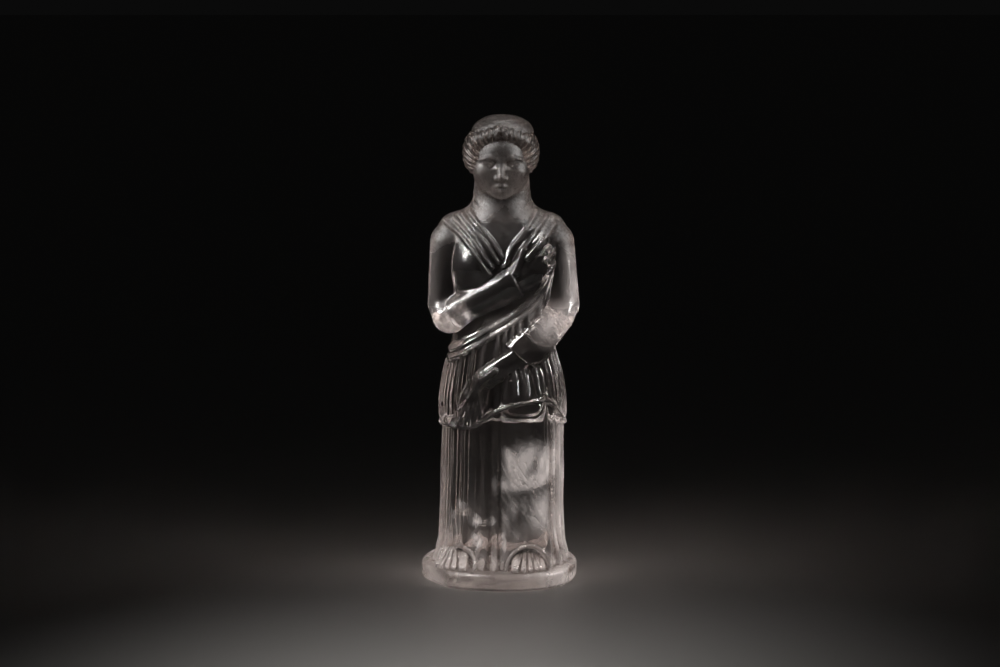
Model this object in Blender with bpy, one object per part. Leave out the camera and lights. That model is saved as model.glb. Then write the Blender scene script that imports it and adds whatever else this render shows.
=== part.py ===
"""Rock crystal figure: a draped standing figure with a low round cap, cut in one with its oval plinth.

The block is described as a distance field: simple solids for the plinth, skirt, arms and head are
joined softly, and folds, hair, toes and features are raised on or cut into them. A net of faces is
then drawn over the field's surface and thinned. Metres, +Z up, the figure faces -Y.
"""

import math

import bpy
import numpy as np

# Sizes that can be set by themselves, in metres
PLINTH_WIDTH = 0.0402
PLINTH_DEPTH = 0.0346
PLINTH_THICKNESS = 0.0046
PLINTH_EDGE_RADIUS = 0.0012
PLINTH_SQUARENESS = 2.25     # 2 is an ellipse, and more is fuller at the corners
PLINTH_TURN = -4.5           # degrees: the oval lies a little askew, with its +X end nearer the front
FIGURE_HEIGHT = 0.1163       # from the plinth's top to the top of the cap
FIGURE_SHIFT_X = 0.0007      # the figure stands a little to one side of the plinth's centre

# The figure is drawn DRAWN_HEIGHT units tall, and every size of its carving is in those units
DRAWN_HEIGHT = 116.3
GROUND = -1.0                # the drawn height at which the figure meets the plinth
UNIT = FIGURE_HEIGHT / DRAWN_HEIGHT
WIDEST = 22.0                # half the room, in drawn units, that the figure needs along X
DEEPEST = 18.0               # and along Y

# The net of faces
NET_STEP = 0.00036
BLOCK_STEPS = 4              # the net is drawn only in blocks of this many steps near the surface
TRIANGLES = 9600


# Joining and cutting

def soft_join(a, b, blend):
    """The union of two fields, with a fillet about as wide as blend."""
    near = np.maximum(blend - np.abs(a - b), 0.0) / blend
    return np.minimum(a, b) - near * near * blend * 0.25


def soft_meet(a, b, blend):
    return -soft_join(-a, -b, blend)


def soft_cut(a, tool, blend):
    return -soft_join(-a, tool, blend)


def smooth_step(low, high, value):
    t = np.clip((value - low) / (high - low), 0.0, 1.0)
    return t * t * (3.0 - 2.0 * t)


def eased(stops, values, samples=400):
    """A function that runs smoothly through values at the given stops."""
    stops = np.array(stops, float)
    values = np.array(values, float)
    rise = np.diff(values) / np.diff(stops)
    tangent = np.concatenate([rise[:1], np.zeros(len(stops) - 2), rise[-1:]])
    same_way = rise[:-1] * rise[1:] > 0
    mean = 2.0 * rise[:-1] * rise[1:] / np.where(same_way, rise[:-1] + rise[1:], 1.0)
    tangent[1:-1] = np.where(same_way, mean, 0.0)
    at = np.linspace(stops[0], stops[-1], samples)
    i = np.clip(np.searchsorted(stops, at, side="right") - 1, 0, len(stops) - 2)
    width = stops[i + 1] - stops[i]
    t = (at - stops[i]) / width
    line = (
        (2 * t**3 - 3 * t**2 + 1) * values[i]
        + (t**3 - 2 * t**2 + t) * width * tangent[i]
        + (3 * t**2 - 2 * t**3) * values[i + 1]
        + (t**3 - t**2) * width * tangent[i + 1]
    )
    return lambda where: np.interp(where, at, line).astype(np.float32)


# Solids

def ball(x, y, z, centre, radii, lean=0.0):
    """An ellipsoid, leant by some degrees about Y: a positive lean tips its top towards +X."""
    dx, dy, dz = x - centre[0], y - centre[1], z - centre[2]
    if lean:
        cos, sin = math.cos(math.radians(lean)), math.sin(math.radians(lean))
        dx, dz = cos * dx - sin * dz, sin * dx + cos * dz
    rx, ry, rz = radii
    near = np.sqrt((dx / rx) ** 2 + (dy / ry) ** 2 + (dz / rz) ** 2)
    slope = np.sqrt((dx / rx**2) ** 2 + (dy / ry**2) ** 2 + (dz / rz**2) ** 2)
    return near * (near - 1.0) / np.maximum(slope, 1e-6)


def limb(x, y, z, start, end, start_radius, end_radius, flatness=1.0):
    """A round-ended limb between two points. A flatness over 1 makes it thinner along Y."""
    ax, ay, az = start
    bx, by, bz = (e - s for s, e in zip(start, end))
    dx, dy, dz = x - ax, y - ay, z - az
    t = np.clip((dx * bx + dy * by + dz * bz) / (bx * bx + by * by + bz * bz), 0.0, 1.0)
    across = np.sqrt((dx - t * bx) ** 2 + ((dy - t * by) * flatness) ** 2 + (dz - t * bz) ** 2)
    return (across - start_radius - (end_radius - start_radius) * t) / flatness**0.5


class Garment:
    """A standing hull whose half widths and depths follow a table of heights."""

    def __init__(self, rows, squareness):
        heights, left, right, front, back = zip(*rows)
        self.left, self.right = eased(heights, left), eased(heights, right)
        self.front, self.back = eased(heights, front), eased(heights, back)
        self.squareness = squareness

    def across(self, x, y, z):
        """x and y as shares of the hull's half width and depth at that height."""
        wide = np.where(x < 0, self.left(z), self.right(z))
        deep = np.where(y < 0, self.front(z), self.back(z))
        return x / wide, y / deep

    def outside(self, x, y, z):
        u, v = self.across(x, y, z)
        n = self.squareness
        share = np.maximum((np.abs(u) ** n + np.abs(v) ** n) ** (1.0 / n), 1e-4)
        return np.hypot(x, y) * (1.0 - 1.0 / share)

    def bearing(self, x, y, z):
        """Degrees round the hull: 0 at the front, 90 at +X and 180 at the back."""
        u, v = self.across(x, y, z)
        return np.degrees(np.arctan2(u, -v))


def flutes(bearing, ridges, width):
    """1 along each ridge, 0 in the flutes between, for ridges given by their bearing."""
    ridges = np.sort(np.array(ridges, float))
    ends = np.concatenate([ridges[-1:] - 360.0, ridges, ridges[:1] + 360.0])
    after = np.clip(np.searchsorted(ends, bearing), 1, len(ends) - 1)
    apart = np.minimum(bearing - ends[after - 1], ends[after] - bearing)
    return 1.0 / (1.0 + (np.abs(apart) / width) ** 3)


def stroke(x, z, path, width):
    """1 along a path seen from the front, falling to 0 a width or so away from it."""
    found = np.zeros_like(x)
    corners = np.array(path, float)
    low, high = corners.min(0) - 2.5 * width, corners.max(0) + 2.5 * width
    near = np.flatnonzero((x > low[0]) & (x < high[0]) & (z > low[1]) & (z < high[1]))
    if not len(near):
        return found
    px, pz = x[near], z[near]
    apart = np.full(len(near), 1e6, np.float32)
    for (ax, az), (bx, bz) in zip(path, path[1:]):
        ux, uz = bx - ax, bz - az
        t = np.clip(((px - ax) * ux + (pz - az) * uz) / (ux * ux + uz * uz), 0.0, 1.0)
        apart = np.minimum(apart, np.hypot(px - ax - t * ux, pz - az - t * uz))
    found[near] = np.exp(-((apart / width) ** 2))
    return found


def bent(path, pieces=5):
    """The path as short straight stretches of a smooth curve through its points."""
    points = [tuple(2 * a - b for a, b in zip(path[0], path[1])), *path]
    points.append(tuple(2 * a - b for a, b in zip(path[-1], path[-2])))
    line = []
    for before, start, end, after in zip(points, points[1:], points[2:], points[3:]):
        for step in range(pieces):
            t = step / pieces
            line.append(tuple(
                0.5 * (2 * b + (c - a) * t + (2 * a - 5 * b + 4 * c - d) * t**2
                       + (3 * b - a - 3 * c + d) * t**3)
                for a, b, c, d in zip(before, start, end, after)
            ))
    return [*line, path[-1]]


# Cloth. Rows are height, half width at -X, half width at +X, depth in front, depth behind

SKIRT = Garment([
    (-3.0, 18.1, 17.2, 13.2, 12.0),
    (-0.4, 17.8, 17.0, 13.1, 11.8),
    (1.3, 17.2, 16.7, 12.7, 11.5),
    (5.3, 16.0, 15.9, 11.7, 10.9),
    (15.7, 15.6, 15.5, 10.8, 10.4),
    (33.4, 15.0, 15.5, 10.6, 10.2),
    (44.0, 14.6, 15.0, 10.4, 10.2),
], squareness=2.25)
TUNIC = Garment([
    (30.0, 16.1, 16.5, 11.9, 11.2),
    (41.8, 16.0, 16.3, 11.8, 11.3),
    (48.0, 15.2, 15.5, 11.3, 11.0),
    (54.3, 13.8, 13.8, 10.5, 10.3),
    (58.5, 12.9, 12.9, 9.7, 9.7),
    (63.0, 12.6, 12.6, 9.3, 9.4),
    (70.0, 13.2, 13.2, 9.6, 9.7),
    (77.0, 13.7, 13.7, 10.1, 10.2),
    (83.0, 13.2, 13.2, 9.3, 10.0),
    (87.0, 11.4, 11.4, 7.9, 8.8),
    (90.0, 8.6, 8.6, 6.6, 7.2),
    (93.0, 5.8, 5.8, 4.9, 5.4),
    (96.0, 3.4, 3.4, 3.0, 3.8),
], squareness=2.3)
SKIRT_RIDGES = (-93, -72, -54, -37.5, -17.5, -6, 54, 66, 82, 100, 119, 138, 157, 176, -165, -146, -128, -110)
TUNIC_RIDGES = (-88, -71, -57, -44, -31, -20, -5, 3.5, 11, 19, 30, 45, 60, 75, 92,
                112, 132, 152, 172, -168, -148, -128, -108)
TUNIC_HEM = eased(
    (-180, -110, -85, -36, -21, -6, 7, 32, 48, 60, 80, 110, 180),
    (35.0, 35.0, 35.3, 35.6, 37.2, 39.9, 41.9, 43.1, 41.8, 39.2, 35.4, 35.0, 35.0),
)

# The rolled edge of the mantle, seen from the front: x and z
MANTLE_EDGE = ((-13.5, 55.4), (-9.5, 57.6), (-3.0, 61.8), (3.5, 65.9), (9.0, 70.4), (11.8, 75.5), (12.8, 81.0), (14.6, 85.6))
MANTLE_HEIGHT = eased(*zip(*MANTLE_EDGE))
LEG_TOP = 52.0
LEG_SQUARENESS = 3.2


def leg(x, y, z):
    """The advanced leg under the cloth: a smooth column with a clear edge, up to a round top at the thigh."""
    low = smooth_step(12.0, 0.0, z)
    middle = 5.5 + 0.3 * low
    half = 6.5 + 1.2 * low - 2.0 * smooth_step(38.0, 50.0, z)
    front = 7.0 + 0.6 * smooth_step(12.0, 34.0, z) + 1.3 * low - 2.4 * smooth_step(38.0, 56.0, z)
    across, along = np.abs((x - middle) / half), np.abs((y + 5.6) / front)
    share = np.maximum((across**LEG_SQUARENESS + along**LEG_SQUARENESS) ** (1 / LEG_SQUARENESS), 1e-4)
    column = np.hypot(x - middle, y + 5.6) * (1.0 - 1.0 / share)
    return soft_meet(column, z - LEG_TOP, 5.0)


def skirt(x, y, z):
    """The long skirt, with pipe folds, and the smooth panel over the advanced leg."""
    bearing = SKIRT.bearing(x, y, z)
    spread = 1.0 + 0.10 * smooth_step(9.0, 0.0, z)
    deep = np.where(np.abs(bearing) < 100, 1.15, 0.6)
    cloth = SKIRT.outside(x, y, z) - deep * (flutes(bearing / spread, SKIRT_RIDGES, 3.3) - 0.5)
    # the fan of small folds that spreads between the feet
    for foot, top in ((-7.2, -5.4), (-4.6, -4.0), (-2.2, -1.8), (0.2, -0.6), (2.2, 0.6)):
        fold = stroke(x, z, ((top, 9.0), (foot, 1.0), (foot * 1.15, -2.0)), 0.65)
        cloth -= 0.8 * fold * (y < 0) * smooth_step(10.0, 4.0, z)
    return soft_join(cloth, leg(x, y, z), 0.6)


def tunic(x, y, z):
    """The upper garment, down to its waved hem, with a rolled edge and radiating folds."""
    bearing = TUNIC.bearing(x, y, z)
    above = z - TUNIC_HEM(bearing)
    cloth = soft_join(TUNIC.outside(x, y, z), leg(x, y, z) - 0.75, 2.2)
    breast = ball(np.abs(x), y, z, (6.6, -5.6, 78.2), (4.6, 4.9, 5.4))
    cloth = soft_join(cloth, breast, 2.5)
    under_mantle = smooth_step(2.4, 3.4, MANTLE_HEIGHT(x) - z)
    deep = 0.75 * np.where(y < 0, under_mantle, smooth_step(72.0, 60.0, z)) * smooth_step(0.4, 2.4, above)
    deep *= np.where(np.abs(bearing) < 95, 1.0, 0.6)
    cloth -= deep * (flutes(bearing, TUNIC_RIDGES, 2.5) - 0.5)
    cloth -= 0.4 * np.exp(-(((above - 0.55) / 0.6) ** 2))
    return soft_meet(cloth, -above, 0.45)


# The neckline's folds, seen from the front: each is a path of x and z
NECK_FOLDS_LEFT = (
    ((-15.0, 88.7), (-9.9, 84.7), (-6.0, 80.1), (-3.2, 76.0)),
    ((-12.4, 89.4), (-7.9, 85.1), (-5.1, 81.5), (-2.6, 78.0)),
    ((-10.2, 90.2), (-5.7, 85.6), (-3.0, 82.5), (-1.0, 79.3)),
    ((-8.2, 90.9), (-4.4, 86.7), (-1.6, 83.2), (0.2, 80.5)),
)
NECK_FOLDS_RIGHT = (
    ((9.0, 90.9), (5.8, 86.7), (2.4, 82.6), (0.6, 77.8)),
    ((11.2, 89.6), (7.6, 85.2), (4.4, 81.0), (2.0, 76.5)),
    ((13.6, 87.8), (10.0, 83.2), (7.0, 79.0)),
)


def chest(x, y, z, body):
    """Raises the folds of the neckline and the rolled edge of the mantle on the body."""
    front = smooth_step(1.0, -2.5, y)
    for path in NECK_FOLDS_LEFT:
        body = body - 0.75 * front * stroke(x, z, bent(path), 0.65)
    for path in NECK_FOLDS_RIGHT:
        body = body - 0.85 * front * stroke(x, z, bent(path), 0.75)
    for lift in (0.0, -2.1):
        line = [(px, pz + lift) for px, pz in bent(MANTLE_EDGE)]
        body = body - 0.9 * front * stroke(x, z, line, 0.7)
    return body


# Arms

def sleeves(x, y, z):
    """Both sleeved arms: the one at -X lies across the breast, the other reaches down."""
    upper = limb(x, y, z, (-13.3, 0.3, 82.6), (-14.6, -1.0, 66.8), 5.1, 4.5)
    fore = limb(x, y, z, (-13.6, -4.2, 63.9), (2.6, -8.8, 73.8), 4.2, 4.2, 1.08)
    cuff = (x - 3.6) * 0.90 + (z - 74.2) * 0.43
    right_arm = soft_join(upper, soft_meet(fore, cuff, 0.35), 1.6)
    upper = limb(x, y, z, (13.3, 0.3, 82.6), (15.2, -1.4, 66.8), 5.2, 4.7)
    fore = limb(x, y, z, (14.0, -4.0, 64.0), (2.9, -8.4, 52.6), 4.4, 6.0, 1.22)
    cuff = (5.2 - x) * 0.62 + (54.5 - z) * 0.78
    left_arm = soft_join(upper, soft_meet(fore, cuff, 0.35), 1.6)
    return np.minimum(right_arm, left_arm)


def breast_hand(x, y, z):
    """The hand laid on the breast, its fingers side by side and pointing up to the shoulder."""
    y = y - 0.8
    hand = limb(x, y, z, (2.6, -10.0, 73.8), (7.6, -10.2, 77.2), 3.4, 4.0, 1.6)
    for step, (tip_x, tip_z) in enumerate(((10.3, 83.8), (11.9, 82.4), (12.9, 80.5), (13.0, 78.2))):
        knuckle = (6.7 + 1.35 * step, -11.5 + 0.3 * step, 80.3 - 1.6 * step)
        bend = (knuckle[0] * 0.4 + tip_x * 0.6, -10.9 + 0.3 * step, knuckle[2] * 0.4 + tip_z * 0.6)
        tip = (tip_x, -8.9 + 0.5 * step, tip_z)
        finger = soft_join(limb(x, y, z, knuckle, bend, 1.15, 1.1), limb(x, y, z, bend, tip, 1.1, 0.9), 0.3)
        hand = soft_join(hand, finger, 0.3)
    thumb = limb(x, y, z, (3.6, -11.6, 76.6), (5.6, -11.2, 82.2), 1.2, 1.0)
    return soft_join(hand, thumb, 0.3)


def hip_hand(x, y, z):
    """The hand held down before the hip, closed on the gathered cloth."""
    hand = limb(x, y, z, (4.4, -9.8, 54.2), (-3.6, -11.0, 49.6), 3.2, 2.9, 1.4)
    for step in range(4):
        start = (-1.9 - 1.05 * step, -13.0, 51.4 - 0.75 * step)
        end = (-4.7 - 0.7 * step, -12.3, 49.6 - 1.2 * step)
        hand = soft_join(hand, limb(x, y, z, start, end, 0.98, 0.9), 0.2)
    return hand


def gathered_cloth(x, y, z):
    """The leaf of cloth that hangs from the closed hand and fans out to the hem."""
    leaf = ball(x, y, z, (-7.2, -9.9, 42.6), (3.9, 2.9, 8.4), lean=20)
    for foot in (-12.2, -10.4, -8.6, -6.8, -5.0):
        leaf = leaf - 0.45 * stroke(x, z, ((-6.2, 50.0), (foot, 37.0)), 0.5)
    return soft_meet(leaf, TUNIC_HEM(TUNIC.bearing(x, y, z)) - z, 0.5)


# Feet

def foot(x, y, z, heel, toe_out, side):
    """A bare foot with five toes. toe_out turns it about its heel, and side puts the big toe at -X or +X."""
    cos, sin = math.cos(math.radians(toe_out)), math.sin(math.radians(toe_out))
    dx, dy = x - heel[0], y - heel[1]
    along, across = sin * dx - cos * dy, side * (cos * dx + sin * dy)
    sole = ball(across, along, z, (0.2, -0.2, 0.2), (4.5, 6.8, 5.9))
    sole = soft_join(sole, ball(across, along, z, (0.2, 3.0, 0.0), (4.5, 4.9, 2.5)), 0.4)
    for place, reach, radius in ((-3.1, 7.7, 1.25), (-1.05, 8.0, 0.95), (0.75, 7.7, 0.9),
                                 (2.4, 7.1, 0.85), (3.8, 6.3, 0.8)):
        toe = limb(across, along, z, (place * 0.92, reach - 4.4, 4.9 - radius), (place, reach, 0.8), radius, radius)
        sole = soft_join(sole, toe, 0.12)
    return sole


def stand(x, y, z, body):
    """Opens the skirt in an arch over each foot and sets the feet in the openings."""
    z = z - GROUND
    for centre, radii in (((7.1, -14.0, -0.2), (5.6, 3.9, 6.3)), ((-12.2, -11.6, -0.2), (5.1, 3.7, 6.0))):
        rim = ball(x, y, z, centre, tuple(r + 1.0 for r in radii))
        body = soft_join(body, soft_meet(body - 0.6, rim, 0.5), 0.3)
        body = soft_cut(body, ball(x, y, z, centre, radii), 0.4)
    feet = np.minimum(
        foot(x, y, z, (6.4, -7.2), 2.0, 1.0),
        foot(x, y, z, (-11.4, -4.8), -15.0, -1.0),
    )
    return soft_join(body, feet, 0.25)


# Head. The face is a plain classical one: its thirds are equal and the eyes are halfway up the head

HEAD_X = -0.25
CHIN = 94.6
CROWN = 113.4
EYE_LINE = (CHIN + CROWN) / 2
HAIRLINE = 109.6
THIRD = (HAIRLINE - CHIN) / 3
NOSE_BASE = CHIN + THIRD
MOUTH = NOSE_BASE - THIRD * 0.36
BROW = CHIN + 2 * THIRD + 0.3
EYE_OUT = 2.85
LOCKS = 32.0                 # how closely the locks of hair follow each other
LOCK_DEPTH = 0.26
CAP_SQUARENESS = 2.1
CAP_X = 0.35


def face(x, y, z):
    side = np.abs(x)
    skull = ball(x, y, z, (0.0, -0.4, 105.4), (7.2, 8.3, 8.0))
    jaw = ball(x, y, z, (0.0, -2.0, 101.4), (7.1, 6.6, 7.2))
    head = soft_join(skull, jaw, 1.5)
    chin = ball(x, y, z, (0.0, -6.3, CHIN + 1.8), (2.4, 1.7, 1.7))
    head = soft_join(head, chin, 2.0)
    cheek = ball(side, y, z, (3.8, -5.2, NOSE_BASE + 1.6), (2.4, 2.3, 2.6))
    head = soft_join(head, cheek, 2.0)
    # brows over shallow sockets, and eyes under two lids
    socket = ball(side, y, z, (EYE_OUT, -9.7, EYE_LINE + 0.1), (2.4, 2.2, 1.5))
    head = soft_cut(head, socket, 0.8)
    brow = limb(side, y, z, (1.0, -8.5, BROW), (4.6, -7.1, BROW + 0.1), 0.45, 0.3)
    head = soft_join(head, brow, 0.9)
    eye = ball(side, y, z, (EYE_OUT, -6.5, EYE_LINE), (1.5, 1.75, 0.95))
    head = soft_join(head, eye, 0.15)
    for edge, radius in ((0.85, 0.34), (-0.8, 0.26)):
        line = ((1.2, -7.5, EYE_LINE - 0.1), (EYE_OUT, -8.05, EYE_LINE + edge), (4.5, -6.9, EYE_LINE))
        for start, end in zip(line, line[1:]):
            head = soft_join(head, limb(side, y, z, start, end, radius, radius), 0.3)
    # nose
    bridge = limb(x, y, z, (0.0, -8.1, BROW - 0.3), (0.0, -9.7, NOSE_BASE + 1.0), 0.7, 0.9)
    head = soft_join(head, bridge, 0.8)
    wing = ball(side, y, z, (1.05, -8.7, NOSE_BASE + 0.7), (0.7, 1.0, 0.7))
    head = soft_join(head, wing, 0.4)
    # closed lips
    upper = limb(side, y, z, (0.5, -8.15, MOUTH + 0.5), (2.3, -7.15, MOUTH), 0.52, 0.2)
    lower = limb(side, y, z, (0.0, -8.0, MOUTH - 0.62), (1.8, -7.35, MOUTH - 0.35), 0.6, 0.3)
    return soft_join(head, soft_join(upper, lower, 0.1), 0.4)


def hair(x, y, z):
    """Waved hair: full at the sides, swept from a middle parting and gathered low at the nape."""
    side = np.abs(x)
    mass = ball(side, y, z, (6.7, -0.4, 105.9), (3.1, 5.6, 5.5))
    mass = soft_join(mass, ball(x, y, z, (0.0, 2.4, 105.4), (8.0, 7.4, 7.6)), 1.6)
    mass = soft_join(mass, ball(x, y, z, (0.0, 5.6, 99.6), (5.4, 3.4, 3.0)), 1.6)
    roll = limb(side, y, z, (0.3, -6.6, 111.7), (6.2, -4.4, 109.0), 1.7, 2.2)
    mass = soft_join(mass, roll, 1.2)
    # locks swept outwards and down from the parting, round the side of the head
    outward = np.degrees(np.arctan2(side, np.maximum(z - 100.0, 0.05)))
    sweep = np.where(y < 0, 26.0, 16.0)
    locks = np.cos(np.radians(outward * LOCKS + sweep * y + 40.0 * np.sin(outward * 0.12)))
    mass = mass - LOCK_DEPTH * locks
    parting = stroke(x, z, ((0.0, 109.5), (0.0, 114.0)), 0.35) * (y < 0)
    return mass + 0.4 * parting


def cap(x, y, z):
    """The low round cap, a flattened dome."""
    x = x - CAP_X
    share = (np.hypot(x, y - 0.6) / 7.9) ** CAP_SQUARENESS + (np.abs(z - 110.9) / 4.4) ** CAP_SQUARENESS
    share = np.maximum(share ** (1 / CAP_SQUARENESS), 1e-4)
    return np.sqrt(x * x + (y - 0.6) ** 2 + (z - 110.9) ** 2) * (1.0 - 1.0 / share)


def neck(x, y, z):
    """A thick neck with two soft rings, spreading into the shoulders."""
    column = limb(x, y, z, (0.0, 1.4, 88.0), (0.0, 0.8, 101.0), 7.5, 6.9, 1.2)
    for ring, depth in ((93.2, 0.4), (91.2, 0.35)):
        sag = ring - 0.06 * (49.0 - x * x)
        column += depth * np.exp(-(((z - sag) / 0.4) ** 2)) * (y < 0)
    slope = limb(np.abs(x), y, z, (2.0, 0.8, 87.6), (12.0, 0.4, 85.8), 5.4, 4.3)
    return soft_join(column, slope, 3.0)


def head(x, y, z):
    x = x - HEAD_X
    carved = soft_join(face(x, y, z), hair(x, y, z), 0.35)
    return soft_join(carved, cap(x, y, z), 0.3)


# The whole block

def plinth(x, y, z):
    """The oval plinth, drawn from its own sizes. x, y and z are in drawn units."""
    cos, sin = math.cos(math.radians(PLINTH_TURN)), math.sin(math.radians(PLINTH_TURN))
    x, z = x + FIGURE_SHIFT_X / UNIT, z - GROUND
    along, across = cos * x + sin * y, cos * y - sin * x
    half_x, half_y = PLINTH_WIDTH / UNIT / 2, PLINTH_DEPTH / UNIT / 2
    edge, thick = PLINTH_EDGE_RADIUS / UNIT, PLINTH_THICKNESS / UNIT
    share = (np.abs(along) / half_x) ** PLINTH_SQUARENESS + (np.abs(across) / half_y) ** PLINTH_SQUARENESS
    share = np.maximum(share ** (1 / PLINTH_SQUARENESS), 1e-4)
    out = np.hypot(x, y) * (1.0 - 1.0 / share) + edge
    up = np.abs(z + thick / 2) - thick / 2 + edge
    return np.minimum(np.maximum(out, up), 0.0) + np.hypot(np.maximum(out, 0), np.maximum(up, 0)) - edge


def figure(x, y, z):
    """How far each point lies outside the carved block, in drawn units. Negative is inside."""
    outside = plinth(x, y, z)

    def add(low, high, shape, blend):
        near = np.flatnonzero((z > low) & (z < high))
        if len(near):
            found = shape(x[near], y[near], z[near])
            outside[near] = soft_join(outside[near], found, blend)

    add(-3.0, 44.5, lambda *p: stand(*p, skirt(*p)), 0.3)
    add(33.0, 96.0, lambda *p: chest(*p, soft_join(tunic(*p), neck(*p), 2.0)), 0.25)
    add(44.0, 92.0, sleeves, 0.5)
    add(70.0, 90.0, breast_hand, 0.3)
    add(42.0, 62.0, hip_hand, 0.3)
    add(33.0, 56.0, gathered_cloth, 0.4)
    add(90.0, 118.0, lambda *p: soft_join(neck(*p), head(*p), 0.5), 0.4)
    return outside


# The net of faces

def sampled(low, counts, step):
    """The field at the points of a grid, worked out only near the surface and filled in elsewhere."""
    foot = np.array((FIGURE_SHIFT_X, 0.0, PLINTH_THICKNESS - GROUND * UNIT))

    def field(points):
        return figure(*((points - foot) / UNIT).astype(np.float32).T) * UNIT

    blocks = [math.ceil(count / BLOCK_STEPS) for count in counts]
    corner = np.stack(np.meshgrid(*(np.arange(n) for n in blocks), indexing="ij"), -1).reshape(-1, 3)
    middle = low + (corner * BLOCK_STEPS + (BLOCK_STEPS - 1) / 2) * step
    coarse = field(middle)
    values = np.repeat(np.repeat(np.repeat(
        coarse.reshape(blocks), BLOCK_STEPS, 0), BLOCK_STEPS, 1), BLOCK_STEPS, 2)
    reach = BLOCK_STEPS * step * 1.7
    near = corner[np.abs(coarse) < reach] * BLOCK_STEPS
    offset = np.stack(np.meshgrid(*(np.arange(BLOCK_STEPS),) * 3, indexing="ij"), -1).reshape(-1, 3)
    index = (near[:, None, :] + offset[None]).reshape(-1, 3)
    values[tuple(index.T)] = field(low + index * step)
    return values[: counts[0], : counts[1], : counts[2]]


CORNERS = [(i, j, k) for i in (0, 1) for j in (0, 1) for k in (0, 1)]


def corners_to_fill(code):
    """The corners of one cell to fill, so that no two parts of the block meet only along an edge or at a point.

    The code has one bit for each corner, which is 1 where the corner is inside the block.
    """
    inside = {corner: bool(code >> n & 1) for n, corner in enumerate(CORNERS)}
    fill = set()
    for a in CORNERS:
        for b in CORNERS:
            differ = [axis for axis in range(3) if a[axis] != b[axis]]
            box = [c for c in CORNERS if all(c[axis] == a[axis] for axis in range(3) if axis not in differ)]
            others = [c for c in box if c not in (a, b)]
            alone = inside[a] == inside[b] and all(inside[c] != inside[a] for c in others)
            if len(differ) > 1 and alone:
                fill |= {c for c in box if not inside[c]}
    return [corner in fill for corner in CORNERS]


FILL = np.array([corners_to_fill(code) for code in range(256)])


def crossed_cells(values):
    """The cells that the surface passes through, once the corners that must be filled are filled."""
    cells = tuple(n - 1 for n in values.shape)
    while True:
        inside = values < 0
        code = np.zeros(cells, np.uint8)
        for n, (i, j, k) in enumerate(CORNERS):
            code |= inside[i : i + cells[0], j : j + cells[1], k : k + cells[2]].astype(np.uint8) << n
        crossed = np.stack(np.nonzero((code > 0) & (code < 255)), -1)
        fill = FILL[code[tuple(crossed.T)]]
        if not fill.any():
            return crossed
        for n, corner in enumerate(CORNERS):
            values[tuple((crossed[fill[:, n]] + corner).T)] = -1e-5


def net(step):
    """Points and four-sided faces over the surface: one point for each grid cell that it passes through."""
    low = np.array([-WIDEST * UNIT, -DEEPEST * UNIT, -2.3 * step])
    high = np.array([WIDEST * UNIT, DEEPEST * UNIT, PLINTH_THICKNESS + FIGURE_HEIGHT + 2.0 * step])
    low[:2] = np.minimum(low[:2], (-PLINTH_WIDTH / 2 - 2 * step, -PLINTH_DEPTH / 2 - 2 * step))
    high[:2] = np.maximum(high[:2], (PLINTH_WIDTH / 2 + 2 * step, PLINTH_DEPTH / 2 + 2 * step))
    counts = [int(n) for n in np.ceil((high - low) / step)]
    values = sampled(low, counts, step)
    crossed = crossed_cells(values)
    inside = values < 0
    cells = tuple(n - 1 for n in counts)
    number = np.full(cells, -1, np.int32)
    number[tuple(crossed.T)] = np.arange(len(crossed))
    held = {c: values[tuple((crossed + c).T)] for c in CORNERS}
    total, hits = np.zeros((len(crossed), 3)), np.zeros(len(crossed))
    for start in CORNERS:
        for axis in range(3):
            if start[axis]:
                continue
            end = tuple(1 if a == axis else s for a, s in enumerate(start))
            a, b = held[start], held[end]
            cut = (a < 0) != (b < 0)
            share = np.where(cut, a / np.where(cut, a - b, 1.0), 0.0)
            total += np.where(cut[:, None], start + share[:, None] * np.eye(3)[axis], 0.0)
            hits += cut
    points = low + (crossed + total / hits[:, None]) * step
    faces = []
    for axis in range(3):
        b, c = (axis + 1) % 3, (axis + 2) % 3
        first = [slice(None)] * 3
        first[axis] = slice(0, -1)
        last = [slice(None)] * 3
        last[axis] = slice(1, None)
        leaving, entering = inside[tuple(first)], inside[tuple(last)]
        at = np.stack(np.nonzero(leaving != entering), -1)
        ring = []
        for db, dc in ((-1, -1), (0, -1), (0, 0), (-1, 0)):
            cell = at.copy()
            cell[:, b] += db
            cell[:, c] += dc
            ring.append(number[tuple(cell.T)])
        ring = np.stack(ring, -1)
        outward = leaving[tuple(at.T)]
        faces.append(np.where(outward[:, None], ring, ring[:, ::-1]))
    return outer_surface(points, np.concatenate(faces))


def outer_surface(points, faces):
    """The net without the small closed pockets that joined forms leave between them."""
    piece = np.arange(len(points))
    while True:
        joined = piece.copy()
        np.minimum.at(joined, faces, piece[faces].min(1)[:, None])
        joined = joined[joined]
        if (joined == piece).all():
            break
        piece = joined
    outer = np.argmax(np.bincount(piece))
    kept = piece == outer
    number = np.cumsum(kept) - 1
    return points[kept], number[faces[kept[faces[:, 0]]]]


# Building

def crystal():
    material = bpy.data.materials.new("rock_crystal")
    material.use_nodes = True
    shader = material.node_tree.nodes["Principled BSDF"]
    shader.inputs["Base Color"].default_value = (0.93, 0.94, 0.95, 1.0)
    shader.inputs["Roughness"].default_value = 0.06
    shader.inputs["Metallic"].default_value = 0.0
    shader.inputs["IOR"].default_value = 1.544
    shader.inputs["Transmission Weight"].default_value = 1.0
    return material


def carve():
    points, faces = net(NET_STEP)
    mesh = bpy.data.meshes.new("crystal_figure")
    mesh.from_pydata(points.tolist(), [], faces.tolist())
    mesh.materials.append(crystal())
    mesh.shade_smooth()
    carved = bpy.data.objects.new("crystal_figure", mesh)
    bpy.context.scene.collection.objects.link(carved)
    thin = carved.modifiers.new("fewer faces", "DECIMATE")
    thin.ratio = TRIANGLES / (2 * len(faces))
    return carved


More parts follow.
